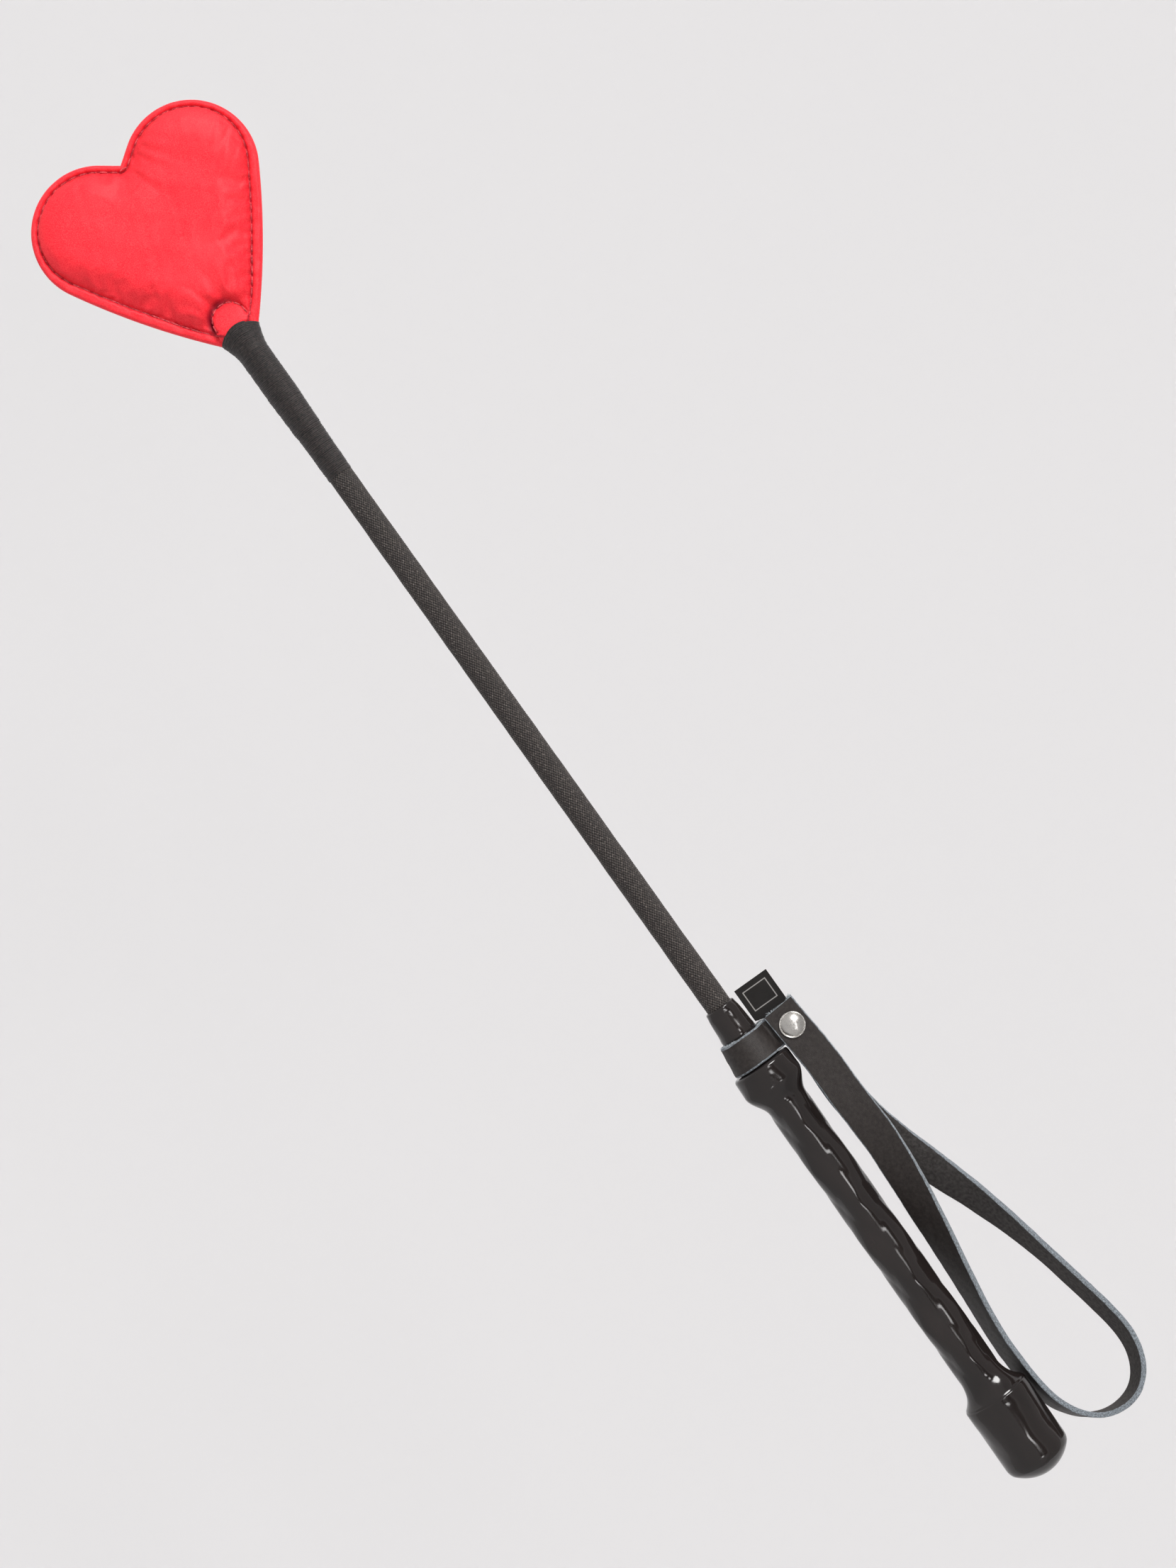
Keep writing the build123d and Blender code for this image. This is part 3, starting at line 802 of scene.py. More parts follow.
def tongue_height(x, y, margin, inset):
    """The smooth gathered tongue inside the arch seam."""
    toward_neck = soft_step((ARCH_X + ARCH_R - x) / 9.0)
    front_edge = throat_high[0] + FRONT_BULGE * np.clip(1 - (y / 6.8) ** 2, 0, 1)
    gather = np.exp(-np.clip(x - front_edge, 0, None) / 1.5)
    pleats = 0.13 * np.sin((x - front_edge) * 5.2 + 0.5 * np.sin(y * 0.9)) * gather
    tongue = 2.2 + 2.6 * toward_neck ** 0.6 * np.sqrt(np.clip(1 - (y / 6.9) ** 2, 0, 1)) + pleats
    return np.minimum(tongue, np.maximum(margin + 0.4, 1.2) + np.clip(inset - 1.0, 0, None) * 1.4)


def tucked_under(x, y, height):
    """The height where the cover runs in under the whipping."""
    wound_half = (throat_high - throat_low)[1:] / 2
    bow = np.clip(1 - (y / wound_half[0]) ** 2, 0, 1)
    tucked = soft_step((throat_high[0] - 0.1 + FRONT_BULGE * bow - x) / 0.9)
    under = np.clip(wound_half[1] * np.sqrt(bow) - 0.85, 0.02, None)
    return height * (1 - tucked) + np.minimum(height, under) * tucked


def cover_height(x, y, side, seed):
    """Height of the satin over the heart's middle plane, and how much painted shade darkens it at the holes,
    along the seams and round the arch.
    """
    here = np.stack([x, y], -1)
    inset = distance(here, sewn_edge(1500))
    to_hole = distance(here, resample(SEAM, SEAM_COUNT))
    to_arch = distance(here, arch_line())
    to_arch_hole = distance(here, resample(arch_line(), ARCH_COUNT))
    inside_arch = (np.hypot(x - ARCH_X, y) < ARCH_R) | ((x < ARCH_X) & (np.abs(y) < ARCH_R + 0.3))
    past = inset - seam_inset(x)

    margin = rolled_margin(x, y, inset, past, seed)
    body = np.where(past < 0, margin, padded_crown(past))
    pull = np.exp(-(to_hole / 0.70) ** 2)
    reach = np.exp(-np.clip(past, 0, None) / 1.9) * (past > 0)
    body = body - 0.40 * pull - 0.22 * reach * np.exp(-((to_hole - np.abs(past)) / 0.75) ** 2)
    puff = soft_step(past / 5)
    body = body + puff * (0.16 * ripples(x, y, 12.0, seed + 1) + 0.06 * ripples(x, y, 4.0, seed + 2))
    body = body - 1.45 * crease_depth(x, y, side) * puff

    angle = np.arctan2(y, x - ARCH_X)
    pucker = 0.42 * np.cos(angle * 8 + 0.9 * np.sin(angle * 3)) * np.exp(-((to_arch - 2.6) / 2.2) ** 2)
    near_arch = np.exp(-(to_arch / 2.3) ** 2)
    outside = body - (body - 1.6) * 0.92 * near_arch + pucker * soft_step(past / 3)
    height = np.where(inside_arch, tongue_height(x, y, margin, inset), outside)
    height = height - 0.55 * np.exp(-(to_arch / 0.45) ** 2) - 0.35 * np.exp(-(to_arch_hole / 0.6) ** 2)
    height = tucked_under(x, y, height)
    least = (board_high[2] + 0.12) * soft_step((inset - 0.3) / 0.9)
    height = np.maximum(height, least)

    # painted shade: darker in the needle holes, along the seam and arch grooves, outside the arch (more on
    # one side, as if lit from the other) and just inside the seam
    shade_side = 0.35 + 0.65 * soft_step((np.cos(angle - math.radians(40) * side) - 0.1) / 0.7)
    outside_arch = np.where(inside_arch, 0.0, np.exp(-(np.clip(to_arch - 0.6, 0, None) / 1.0) ** 2))
    inner_shade = np.where(inside_arch | (past < 0), 0.0, np.exp(-np.clip(past, 0, None) / 1.2))
    painted_shade = np.max([
        np.exp(-(to_hole / 0.36) ** 2),
        np.exp(-(to_arch_hole / 0.36) ** 2),
        0.72 * np.exp(-(past / 0.36) ** 2),
        0.55 * np.exp(-(to_arch / 0.35) ** 2),
        0.95 * shade_side * outside_arch,
        0.30 * inner_shade,
    ], axis=0)
    return height, painted_shade * (inset > 0.8)


LAST_STEP = 7.5                                     # rings go in by distance this far, then by share
FINE_STEPS = [0, 0.05, 0.15, 0.3, *np.arange(0.5, 4.9, 0.20), *np.arange(5.1, LAST_STEP + 0.1, 0.4)]
FINE_SHARES = np.linspace(0, 1, 36)[1:-1]
COARSE_STEPS = np.linspace(0, LAST_STEP, 14)
COARSE_SHARES = np.linspace(0, 1, 20)[1:-1]
COARSE_AROUND = HEART_AROUND // 4
SETTLE_SCALE = 10.0                                 # the cloth settles ten times life size
SETTLE_FRAMES = 22
FULLNESS = 0.030                                    # how much larger than its bed the satin is cut
PUSH_CAP = 0.8                                      # the farthest that the cloth may move
SWELL = 0.4                                         # room left for the cloth to swell
CLOTH = {
    "quality": 8,
    "mass": 0.2,
    "tension_stiffness": 20,
    "compression_stiffness": 8,
    "shear_stiffness": 4,
    "bending_stiffness": 0.15,
    "vertex_group_mass": "held",
    "shrink_min": -FULLNESS,
    "use_pressure": True,
    "uniform_pressure_force": 0.9,
}


def heart_rings(around, steps, shares):
    """Flat rings of points from the outline in to the middle, and each ring's place from 0 to 2."""
    outline = heart_outline(around)
    ray = outline - HEART_MIDDLE
    inward = -unit(ray)
    rings = [outline + inward * step for step in steps]
    last = rings[-1]
    rings += [last + (HEART_MIDDLE - last) * share for share in shares]
    return np.vstack(rings), np.array([step / LAST_STEP for step in steps] + [1 + share for share in shares])


def ring_faces(rings, around):
    """Quads between the rings and a fan round the middle point."""
    faces = grid_quads(rings, around, close_columns=True)
    hub = rings * around
    first = hub - around
    return faces + [[first + k, first + (k + 1) % around, hub] for k in range(around)]


def settled(side, seed):
    """Let slightly too much satin settle, pressed out by the stuffing and held by its seams."""
    flat, places = heart_rings(COARSE_AROUND, COARSE_STEPS, COARSE_SHARES)
    flat = np.vstack([flat, HEART_MIDDLE])
    height, _ = cover_height(flat[:, 0], flat[:, 1], side, seed)
    start = np.column_stack([flat, height]) * SETTLE_SCALE * MM
    mesh = bpy.data.meshes.new("settling")
    mesh.from_pydata(start.tolist(), [], [face[::-1] for face in ring_faces(len(places), COARSE_AROUND)])
    cloth_obj = bpy.data.objects.new("settling", mesh)
    scene = bpy.context.scene
    scene.collection.objects.link(cloth_obj)
    inset = distance(flat, sewn_edge(1500))
    to_arch = distance(flat, arch_line())
    in_arch = (np.hypot(flat[:, 0] - ARCH_X, flat[:, 1]) < ARCH_R) | (flat[:, 0] < ARCH_X)
    held = np.nonzero((inset < seam_inset(flat[:, 0]) + 0.25) | in_arch | (to_arch < 0.4))[0]
    cloth_obj.vertex_groups.new(name="held").add(held.tolist(), 1.0, "REPLACE")
    cloth = cloth_obj.modifiers.new("settle", "CLOTH")
    for setting, value in CLOTH.items():
        setattr(cloth.settings, setting, value)
    cloth.settings.effector_weights.gravity = 0
    cloth.point_cache.frame_end = SETTLE_FRAMES
    for number in range(1, SETTLE_FRAMES + 1):
        scene.frame_set(number)
    finished = cloth_obj.evaluated_get(bpy.context.evaluated_depsgraph_get()).data
    moved = np.array([vertex.co[:] for vertex in finished.vertices]) - start
    scene.frame_set(1)
    bpy.data.objects.remove(cloth_obj)
    bpy.data.meshes.remove(mesh)
    moved = moved / (SETTLE_SCALE * MM)
    far = np.linalg.norm(moved, axis=1)
    moved = moved * np.minimum(1, PUSH_CAP / np.maximum(far, 1e-6))[:, None]
    return moved[:-1].reshape(len(places), COARSE_AROUND, 3), places


def spread(moved, places, fine_places):
    """Carry the coarse cloth's movement to the fine rings, smoothly."""
    at = np.interp(fine_places, places, np.arange(len(places)))
    low = np.minimum(at.astype(int), len(places) - 2)
    part = (at - low)[:, None, None]
    rows = moved[low] * (1 - part) + moved[low + 1] * part
    column = np.arange(HEART_AROUND) * COARSE_AROUND / HEART_AROUND
    left = column.astype(int)
    part = (column - left)[None, :, None]
    grid = rows[:, left] * (1 - part) + rows[:, (left + 1) % COARSE_AROUND] * part
    for _ in range(6):
        grid = (np.roll(grid, 1, 1) + 2 * grid + np.roll(grid, -1, 1)) / 4
    return grid


def heart_cover(name, side, seed):
    """One satin face with its rolled margin, padded crown, seams and folds."""
    flat, places = heart_rings(HEART_AROUND, FINE_STEPS, FINE_SHARES)
    flat = np.vstack([flat, HEART_MIDDLE])
    height, painted_shade = cover_height(flat[:, 0], flat[:, 1], side, seed)
    height[:HEART_AROUND] = 0.0
    points = np.column_stack([flat, height])
    moved, coarse_places = settled(side, seed)
    shift = spread(moved, coarse_places, places)
    points[:-1] += shift.reshape(-1, 3)
    points[-1] += shift[-1].mean(0)
    points[:, 2] *= side
    faces = ring_faces(len(places), HEART_AROUND)
    if side > 0:
        faces = [face[::-1] for face in faces]
    skin = np.column_stack([flat, side * height])
    obj = mesh_piece(name, points, faces, [MAT["satin"]], skin=skin)
    # the painted shade goes into the "seam" value that the satin's colour reads
    shade_value(obj, "seam", painted_shade)
    return obj


def stitch_run(holes, heights, slopes, side):
    """Thread between neighbouring holes: each stitch bows up and dives in at both ends."""
    points, faces, skin = [], [], []
    steps, ring = 9, 6
    spin = 2 * math.pi * np.arange(ring) / ring
    for first, last, height, slope in zip(holes[:-1], holes[1:], heights, slopes):
        along = last - first
        reach = np.linalg.norm(along)
        if reach > 1.6 * STITCH_PITCH:
            continue
        along = along / reach
        across = np.array([-along[1], along[0], 0.0])
        base = len(points)
        for t in np.linspace(-1, 1, steps):
            bow = 1 - t ** 4
            middle = (first + last) / 2 + along * t * reach * STITCH_REACH
            up = height + 2 * STITCH_REACH * slope * t + 0.50 * bow - 0.28
            size = STITCH_R * (0.70 + 0.30 * bow)
            for a in spin:
                offset = across * size * math.cos(a) + np.array([0, 0, side * size * math.sin(a)])
                points.append(np.array([middle[0], middle[1], side * up]) + offset)
                skin.append((t * 1.2, a * size, 0))
        faces += tube_faces(steps, ring, base)
    return points, faces, skin


def stitched(name, holes, node):
    """Stitches along a flat line of holes, on both faces, lying along the cloth's slope."""
    points, faces, skin = [], [], []
    solid = np.column_stack([holes, np.zeros(len(holes))])
    shares = np.array([0.5, 0.25, 0.75])[:, None, None]
    flat = (holes[:-1] * (1 - shares) + holes[1:] * shares).reshape(-1, 2)
    for side, seed in FACES:
        height, _ = cover_height(flat[:, 0], flat[:, 1], side, seed)
        middle, before, after = height.reshape(3, -1)
        more, quads, coords = stitch_run(solid, middle, after - before, side)
        faces += [[k + len(points) for k in face] for face in quads]
        points += more
        skin += coords
    obj = mesh_piece(name, points, faces, [MAT["seam"]], skin=skin)
    tidy(obj)
    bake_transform(obj)
    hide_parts(node)


SEAM = seam_line()
SEAM_COUNT = round(np.linalg.norm(np.diff(SEAM, axis=0), axis=1).sum() / STITCH_PITCH)
ARCH_COUNT = round(np.linalg.norm(np.diff(arch_line(), axis=0), axis=1).sum() / ARCH_PITCH) + 1


def make_heart():
    """Two padded satin faces sewn together, with their seams."""
    for end, (side, seed) in zip(("front", "back"), FACES):
        obj = heart_cover(f"satin_{end}", side, seed)
        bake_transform(obj)
        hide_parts(f"heart_cover_{end}", f"heart_pad_{end}")
    stitched("seam_stitches", resample(SEAM, SEAM_COUNT), "edge_stitching")
    stitched("arch_stitches", resample(arch_line(), ARCH_COUNT), "arch_stitching")


# ---- leather ----------------------------------------------------------------------
LEATHER, STRAP_WIDTH = 1.6, 10.6
NECK_FIT, TAIL_GAP, TAIL_END, TAIL_SLOPE = 0.05, 0.4, 19.4, 60.0
LAP_END, LAP_ANGLE, HINGE_D, STRAIGHT_END = 6.6, 4.5, 8.6, 12.6
LOOP_ROUTE = [
    (131.0, -15.6, 2.5),
    (108.0, -16.2, 1.6),
    (88.0, -14.6, -0.2),
    (66.0, -13.0, -2.8),
    (45.0, -12.3, -4.6),
    (27.0, -12.6, -4.9),
    (13.0, -15.2, -4.9),
    (3.6, -23.2, -4.9),
    (3.4, -35.0, -4.9),
    (13.0, -42.6, -4.9),
    (30.0, -42.8, -4.9),
    (60.0, -35.0, -4.9),
    (88.0, -25.0, -4.6),
    (112.0, -17.6, -3.6),
    (131.0, -15.4, -2.8),
]
TWIST_FROM, TWIST_TO = 0.17, 0.72        # where the CAD strap turns on edge, as shares of half the loop
# the turns of the strap that show: from one share of the loop to another, and degrees
TURNS = [(0.03, 0.33, 68.0), (0.38, 0.62, 44.0), (0.67, 0.97, 68.0)]
CUT_BEVEL, SKIVED_BEVEL, BACK_BEVEL = 0.30, 0.55, 0.22   # the loop's edges, the collar's, the flesh side's
DENT, DENT_R = 0.16, 4.6                                 # how the rivet's head presses the leather in


def strip_section(width, thick, bevel):
    """Closed outline of a cut strap: (across, up) points and which face each stretch is on."""
    half_w, half_t = width / 2, thick / 2
    r, q = bevel, BACK_BEVEL
    top = [(w, half_t) for w in np.linspace(half_w - r, -half_w + r, 15)]
    back = [(w, -half_t) for w in np.linspace(-half_w + q, half_w - q, 15)]
    left = arc(-half_w + r, half_t - r, r, 110, 180, 4) + arc(-half_w + q, -half_t + q, q, 180, 250, 4)
    right = arc(half_w - q, -half_t + q, q, 290, 360, 4) + arc(half_w - r, half_t - r, r, 0, 70, 4)
    outline = top + left + back + right
    kinds = [0] * (len(top) - 1) + [1] * (len(left) + 1) + [2] * (len(back) - 1) + [1] * (len(right) + 1)
    return np.array(outline), kinds


def strip(name, centre, across, up, width, thick, bevel, dent=None):
    """A leather strip along stations, with its grain face on the up side."""
    section, kinds = strip_section(width, thick, bevel)
    count, ring = len(centre), len(section)
    along = np.concatenate([[0], np.cumsum(np.linalg.norm(np.diff(centre, axis=0), axis=1))])
    w = np.tile(section[:, 0], count)
    n = np.tile(section[:, 1], count)
    s = np.repeat(along, ring)
    edge_wave = 0.05 * ripples(s, np.sign(w) * 20, 9.0, 41) + 0.02 * ripples(s, np.sign(w) * 9, 1.4, 42)
    w = w + np.sign(w) * edge_wave * (np.abs(w) > width / 2 - 0.6)
    n = n + 0.035 * ripples(s, w, 4.5, 43) * (n > 0)
    across, up = np.repeat(across, ring, 0), np.repeat(up, ring, 0)
    points = np.repeat(centre, ring, 0) + w[:, None] * across + n[:, None] * up
    if dent is not None:
        points = points + dent(points) * up
    faces = tube_faces(count, ring, 0)
    slots = kinds * (count - 1) + [1, 1]
    skin = np.stack([s, w, n * 3], -1)
    sides = [MAT["grain"], MAT["edge"], MAT["flesh"]]
    obj = mesh_piece(name, points, faces, sides, skin=skin, face_slots=slots)
    tidy(obj)
    return obj


def from_rivet(d, z):
    """A point on the loop's straight lap, d from the rivet toward the loop."""
    turn = math.radians(LAP_ANGLE)
    return np.array([RIVET[0] - d * math.cos(turn), RIVET[1] - d * math.sin(turn), z])


def pressed(points):
    """The leather sinks a little under the rivet's head."""
    away = np.hypot(points[:, 0] - RIVET[0], points[:, 1] - RIVET[1])
    near = np.abs(points[:, 0] - RIVET[0]) < 2 * DENT_R
    return (-DENT * np.exp(-(away / DENT_R) ** 4) * near)[:, None]


def make_loop():
    """The wrist loop: one strip, flat at the rivet and leaning over round the wrist."""
    z_mid = (lap_low[2] + lap_high[2]) / 2
    start, finish = from_rivet(STRAIGHT_END, z_mid), from_rivet(STRAIGHT_END, -z_mid)
    outward = unit(start - from_rivet(0, z_mid))
    bend = spline([start, *LOOP_ROUTE, finish], outward, -outward, 900)
    bend = resample(bend, 560)
    share = np.linspace(0, 1, len(bend))
    upright = 90 * soft_step((1 - np.abs(2 * share - 1) - TWIST_FROM) / (TWIST_TO - TWIST_FROM))
    solid_turn = np.where(share < 0.5, upright, 180 - upright)
    turn = sum(angle * soft_step((share - first) / (last - first)) for first, last, angle in TURNS)
    lap_steps = np.linspace(-LAP_END, STRAIGHT_END, 34)[:-1]
    front = np.array([from_rivet(d, z_mid) for d in lap_steps])
    back = np.array([from_rivet(d, -z_mid) for d in lap_steps[::-1]])
    centre = np.vstack([front, bend, back])
    flat, turned_over = np.zeros(len(front)), np.full(len(back), 180.0)
    along = unit(np.gradient(centre, axis=0))
    side = unit(np.cross(along, [0.0, 0.0, 1.0]))
    rise = np.cross(side, along)

    def across_at(degrees):
        lean = np.radians(np.concatenate([flat, degrees, turned_over]))[:, None]
        return np.cross(along, rise * np.cos(lean) + side * np.sin(lean))

    across = across_at(turn)
    # the strap leans about the edge that the upright CAD strap has on top
    centre = centre - (across_at(solid_turn) - across) * STRAP_WIDTH / 2
    up = np.cross(across, along)
    obj = strip("wrist_strap", centre, across, up, STRAP_WIDTH, LEATHER, CUT_BEVEL, dent=pressed)
    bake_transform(obj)
    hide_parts("wrist_loop", "loop_end_front", "loop_end_back")


def collar_path(x):
    """The strip's middle round the neck, from the front tail's end to the back tail's."""
    share = (x - SHOULDER_END) / (NECK_END - SHOULDER_END)
    radius = NECK_R_LOW + (NECK_R_HIGH - NECK_R_LOW) * share + NECK_FIT + LEATHER / 2
    slope = math.radians(TAIL_SLOPE)
    level = (TAIL_GAP + LEATHER) / 2
    corner = (radius - level * math.cos(slope)) / math.sin(slope)
    first = 90 - TAIL_SLOPE
    round_part = [
        (-radius * math.cos(math.radians(a)), radius * math.sin(math.radians(a)))
        for a in np.linspace(first, 360 - first, 90)
    ]
    line = [(-TAIL_END, level), (-corner - 1.5, level), (-corner, level)] + round_part
    line += [(-corner, -level), (-corner - 1.5, -level), (-TAIL_END, -level)]
    line = resample(line, 260)
    for _ in range(10):
        line[1:-1] = (line[:-2] + 2 * line[1:-1] + line[2:]) / 4
    return np.column_stack([np.full(len(line), x), line])


def make_collar():
    """The strip that holds the loop on the neck."""
    low, high = collar_path(collar_low[0]), collar_path(collar_high[0])
    centre = (low + high) / 2
    across = unit(high - low)
    along = unit(np.gradient(centre, axis=0))
    up = unit(np.cross(across, along))
    width = collar_high[0] - collar_low[0]
    obj = strip("neck_collar", centre, across, up, width, LEATHER, SKIVED_BEVEL)
    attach(obj, "collar")
    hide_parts("strap_collar")


FIBRE_R, FIBRE_LENGTH, FIBRES_PER_MM = 0.10, 1.15, 16.0
FIBRE_STEPS = (0.0, 0.35, 0.7, 1.0)


def fray(name, line, outward, up, seed):
    """Short pale fibres that stand out of a cut edge, in clumps."""
    chance = np.random.default_rng(seed)
    gaps = np.linalg.norm(np.diff(line, axis=0), axis=1)
    along = np.concatenate([[0], np.cumsum(gaps)])
    count = int(along[-1] * FIBRES_PER_MM)
    where = np.sort(chance.uniform(0, along[-1], count))
    clump = 0.5 + 0.5 * ripples(where, 0 * where, 5.0, seed)
    pick = np.searchsorted(along, where).clip(1, len(line) - 1)
    tangent = unit(np.gradient(line, axis=0))[pick]
    sides = 3
    spin = 2 * math.pi * np.arange(sides) / sides
    points, faces, skin = [], [], []
    for k in range(count):
        length = FIBRE_LENGTH * max(0.0, clump[k]) * chance.uniform(0.35, 1.0)
        if length < 0.15:
            continue
        out, rise = outward[pick[k]], up[pick[k]]
        root = line[pick[k]] + rise * chance.uniform(-0.25, 0.75) * LEATHER / 2
        lean = out + 0.7 * chance.normal() * tangent[k] + (0.35 + 0.5 * chance.normal()) * rise
        lean = lean / np.linalg.norm(lean)
        curl = 0.4 * chance.normal() * tangent[k] + 0.3 * chance.normal() * rise
        base = len(points)
        for t in FIBRE_STEPS:
            middle = root - 0.15 * out + lean * length * t + curl * length * t * t
            size = FIBRE_R * (1.0 - 0.70 * t)
            for a in spin:
                points.append(middle + size * (math.cos(a) * tangent[k] + math.sin(a) * rise))
                skin.append((where[k], t * length, a))
        faces += tube_faces(len(FIBRE_STEPS), sides, base)
    obj = mesh_piece(name, points, faces, [MAT["fray"]], skin=skin)
    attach(obj, "collar")


def make_frays():
    """Fibres on the collar's tip-side edge and on the loop's two cut ends."""
    line = collar_path(collar_high[0])
    forward = np.tile([1.0, 0.0, 0.0], (len(line), 1))
    along = unit(np.gradient(line, axis=0))
    fray("collar_fibres", line, forward, unit(np.cross(forward, along)), 71)
    z_mid = (lap_low[2] + lap_high[2]) / 2
    tip = from_rivet(-LAP_END, z_mid)
    outward = unit(tip - from_rivet(0, z_mid))
    sideways = np.array([-outward[1], outward[0], 0.0])
    for name, z, seed in (("front_end_fibres", z_mid, 72), ("back_end_fibres", -z_mid, 73)):
        reach = np.linspace(-STRAP_WIDTH / 2, STRAP_WIDTH / 2, 40)[:, None]
        cut = np.array([tip[0], tip[1], z]) + reach * sideways
        up = np.array([0.0, 0.0, math.copysign(1, z)])
        fray(name, cut, np.tile(outward, (len(cut), 1)), np.tile(up, (len(cut), 1)), seed)


# ---- rivet and label ----------------------------------------------------------------
def turned_on_rivet(name, profile, node):
    """A turned nickel piece on the rivet's axis, from (height, radius) points."""
    centre = (RIVET[0], RIVET[1], 0)
    obj = lathe(name, profile, [MAT["nickel"]], segments=96, about="z", centre=centre)
    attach(obj, "collar")
    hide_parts(node)


def make_rivet():
    """Domed nickel head with a raised rim, and a flat back cap with a struck middle."""
    base = head_low[2] - 0.12
    size = (head_high[0] - head_low[0]) / 2
    top = head_high[2]
    edge = size - 0.55
    head = [(top - (top - base - 0.62) * (r / edge) ** 2.5, r) for r in np.linspace(0.001, edge, 24)]
    head += [(base + 0.54, edge + 0.05), (base + 0.53, edge + 0.10), (base + 0.58, edge + 0.14)]
    for a in np.radians(range(130, -61, -15)):
        head.append((base + 0.40 + 0.27 * math.sin(a), size - 0.25 + 0.25 * math.cos(a)))
    head += [(base, size - 0.25), (base, 0.001)]
    turned_on_rivet("rivet_dome", head, "rivet_head")

    low = back_low[2]
    top = back_high[2] + 0.12
    size = (back_high[0] - back_low[0]) / 2
    cap = [(top, 0.001), (top, size - 0.15)]
    for a in np.radians(range(40, -91, -15)):
        cap.append((low + 0.3 + 0.3 * math.sin(a), size - 0.3 + 0.3 * math.cos(a)))
    cap += [(low + 0.04, size - 0.9), (low + 0.10, 1.5), (low + 0.22, 1.1)]
    cap += [(low + 0.34, 0.6), (low + 0.36, 0.001)]
    turned_on_rivet("rivet_back_cap", cap, "rivet_back")


LABEL_THICK = 0.38
LABEL_FOLD_Y = -8.4        # its inner edge between the collar's tails
LABEL_CLEAR_X = 158.0      # where it comes out from between them
LABEL_STEPS_X, LABEL_STEPS_Y = 150, 80
FRAME_LINE = 0.16          # half the woven frame's line


def make_label():
    """A short woven tag with selvedges and a plain woven frame."""
    step_in, far = label_high[1], label_low[1]
    points, skin, frame_mark = [], [], []
    for side in (1, -1):
        for x in np.linspace(label_low[0], label_high[0], LABEL_STEPS_X):
            near = LABEL_FOLD_Y + (step_in - LABEL_FOLD_Y) * float(soft_step((x - 157.6) / 0.8))
            free = max(0.0, x - LABEL_CLEAR_X)
            for t in np.linspace(0, 1, LABEL_STEPS_Y):
                y = near + (far - near) * t
                bend = -0.010 * free ** 2 + 0.10 * math.sin(free * 0.5) * math.sin(y * 0.6)
                rib = 0.03 * math.sin(x * 9.5)
                selvedge = 0.06 * math.exp(-min(abs(y - near), abs(y - far)) ** 2 / 0.16)
                points.append((x, y, bend + side * (LABEL_THICK / 2 + rib * 0.5 + selvedge)))
                skin.append((x, y, 0))
                gap_x = label_high[0] - x
                gap_y = min(step_in - y, y - far)
                on_x = abs(gap_x - 1.9) < FRAME_LINE and gap_y > 1.64
                on_y = abs(gap_y - 1.8) < FRAME_LINE and 1.74 < gap_x < 8.36
                on_back = abs(gap_x - 8.2) < FRAME_LINE and gap_y > 1.64
                frame_mark.append(1.0 if side > 0 and (on_x or on_y or on_back) else 0.0)
    sheet_size = LABEL_STEPS_X * LABEL_STEPS_Y
    top_faces = grid_quads(LABEL_STEPS_X, LABEL_STEPS_Y)
    faces = top_faces + [[k + sheet_size for k in face[::-1]] for face in top_faces]
    grid = np.arange(sheet_size).reshape(LABEL_STEPS_X, LABEL_STEPS_Y)
    rim = [*grid[0], *grid[1:, -1], *grid[-1, -2::-1], *grid[-2:0:-1, 0]]
    for first, last in zip(rim, rim[1:] + rim[:1]):
        faces.append([int(k) for k in (first, last, last + sheet_size, first + sheet_size)])
    obj = mesh_piece("woven_label", points, faces, [MAT["label"]], skin=skin)
    tidy(obj)
    shade_value(obj, "frame", frame_mark)
    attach(obj, "collar")
    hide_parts("label")


def dress_inner_nodes():
    """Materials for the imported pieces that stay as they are, mostly out of sight."""
    for node, key in (
        ("core_rod", "rod"), ("core_jacket", "jacket"), ("heart_neck", "satin"),
        ("heart_board", "board"), ("rivet_post", "nickel"),
    ):
        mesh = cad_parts[node].data
        mesh.materials.clear()
        mesh.materials.append(MAT[key])


# ---- studio ---------------------------------------------------------------------------
CAMERA_X, CAMERA_Y, CAMERA_Z = 244.1, -6.6, 950.0
CAMERA_TURN = 234.55
LENS = 73.8
TENT = 0.60           # brightness of the tent of soft boxes
STRIP = 11.0          # and of the thin tubes
KEY_STRENGTH = 2.7
BACKDROP_Z = -800.0   # far enough behind that no shadow shows on it
BACKDROP_REACH = 6000.0
KEY_FROM = (0.62, -0.85, 1.0)


def make_camera():
    """Looks straight down on the heart's face, the crop lying across the view."""
    data = bpy.data.cameras.new("camera")
    data.sensor_fit = "AUTO"
    data.sensor_width = 36.0
    data.lens = LENS
    data.clip_start, data.clip_end = 0.02, 20.0
    camera = bpy.data.objects.new("camera", data)
    camera.location = Vector((CAMERA_X, CAMERA_Y, CAMERA_Z)) * MM
    camera.rotation_euler = (0, 0, math.radians(CAMERA_TURN))
    bpy.context.scene.collection.objects.link(camera)
    bpy.context.scene.camera = camera


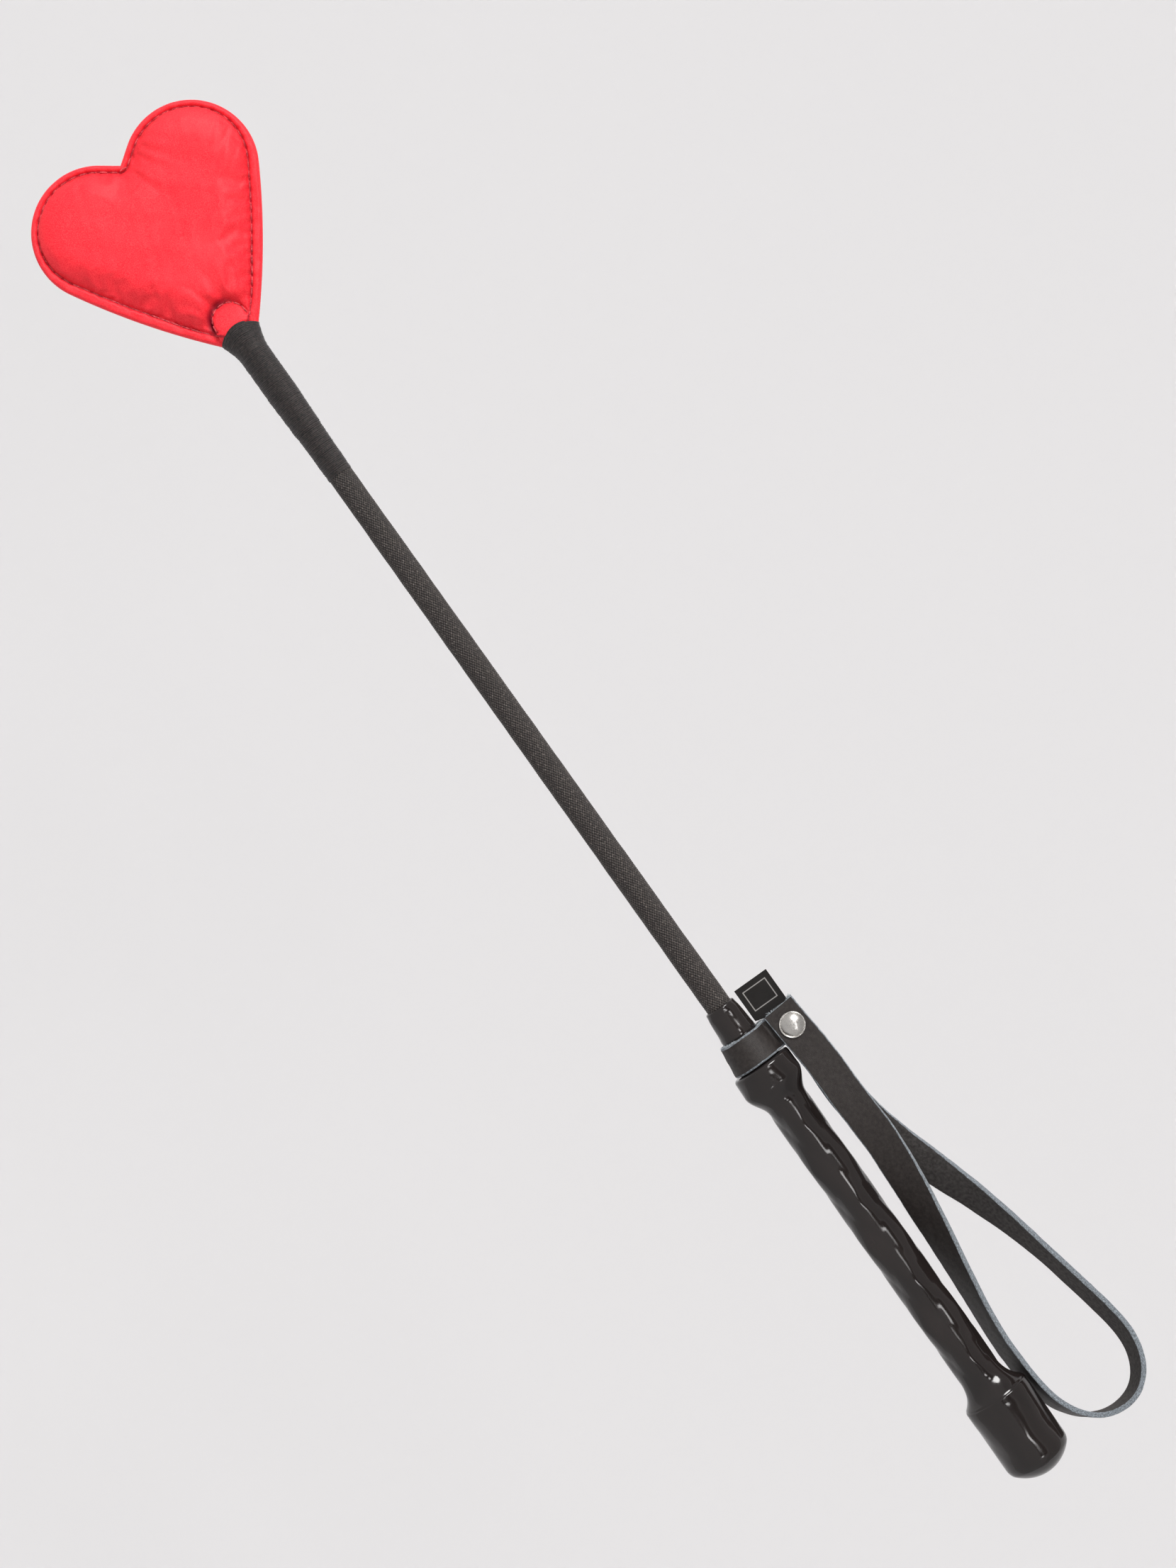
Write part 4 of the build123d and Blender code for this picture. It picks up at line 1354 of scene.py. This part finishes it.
def studio_world():
    """A bright tent of soft boxes with a dark slot overhead and a row of thin tubes in it."""
    world = bpy.data.worlds.new("world")
    world.use_nodes = True
    tree = world.node_tree

    def calc(operation, first, second):
        node = tree.nodes.new("ShaderNodeMath")
        node.operation = operation
        for value, socket in ((first, node.inputs[0]), (second, node.inputs[1])):
            if isinstance(value, float):
                socket.default_value = value
            else:
                tree.links.new(value, socket)
        return node.outputs[0]

    def between(value, low, high):
        return calc("MULTIPLY", calc("GREATER_THAN", value, low), calc("LESS_THAN", value, high))

    heading = tree.nodes.new("ShaderNodeSeparateXYZ")
    tree.links.new(tree.nodes.new("ShaderNodeTexCoord").outputs["Generated"], heading.inputs[0])
    rise = calc("MAXIMUM", heading.outputs["Z"], 0.02)
    lengthwise = calc("DIVIDE", heading.outputs["X"], rise)
    sideways = calc("DIVIDE", heading.outputs["Y"], rise)
    slanted = calc("ADD", sideways, calc("MULTIPLY", lengthwise, 0.30))
    slot = calc("MULTIPLY", between(slanted, -0.78, -0.20), between(lengthwise, -0.75, 0.55))
    strip_light = calc("MULTIPLY", between(slanted, -0.42, -0.27), between(lengthwise, -0.9, 0.5))
    tubes = calc("GREATER_THAN", calc("SINE", calc("MULTIPLY", lengthwise, 17.0), 0.0), 0.25)
    strip_light = calc("MULTIPLY", strip_light, tubes)
    far_side = calc("LESS_THAN", slanted, -0.95)
    glow = calc("SUBTRACT", TENT, calc("MULTIPLY", slot, TENT * 0.88))
    glow = calc("SUBTRACT", glow, calc("MULTIPLY", far_side, TENT * 0.30))
    glow = calc("ADD", glow, calc("MULTIPLY", strip_light, STRIP))
    background = tree.nodes["Background"]
    background.inputs["Color"].default_value = (1.0, 0.985, 0.985, 1)
    tree.links.new(glow, background.inputs["Strength"])
    bpy.context.scene.world = world


def make_studio():
    """Pale backdrop far below, a soft tent and one broad key light."""
    s = Shader("pale_backdrop", (0.614, 0.609, 0.616), 0.9)
    where = s.place()
    tone = s.ramp(s.noise(where, 3.0, 2.0), [(0.3, (0.612, 0.607, 0.614)), (0.7, (0.616, 0.611, 0.618))])
    s.to(tone, "Base Color")
    corners = [
        (x * BACKDROP_REACH, y * BACKDROP_REACH, BACKDROP_Z)
        for x, y in ((-1, -1), (1, -1), (1, 1), (-1, 1))
    ]
    mesh_piece("backdrop", corners, [[0, 1, 2, 3]], [s.mat], smooth=False)
    studio_world()
    data = bpy.data.lights.new("key", "SUN")
    data.energy = KEY_STRENGTH
    data.angle = math.radians(24)
    data.color = (1.0, 0.99, 0.98)
    key = bpy.data.objects.new("key", data)
    key.rotation_mode = "QUATERNION"
    key.rotation_quaternion = (-Vector(KEY_FROM)).to_track_quat("-Z", "Y")
    bpy.context.scene.collection.objects.link(key)
    bpy.context.scene.view_settings.view_transform = "Standard"


make_camera()
make_studio()
make_handle()
make_braid()
make_bindings()
make_heart()
make_loop()
make_collar()
make_frays()
make_rivet()
make_label()
dress_inner_nodes()
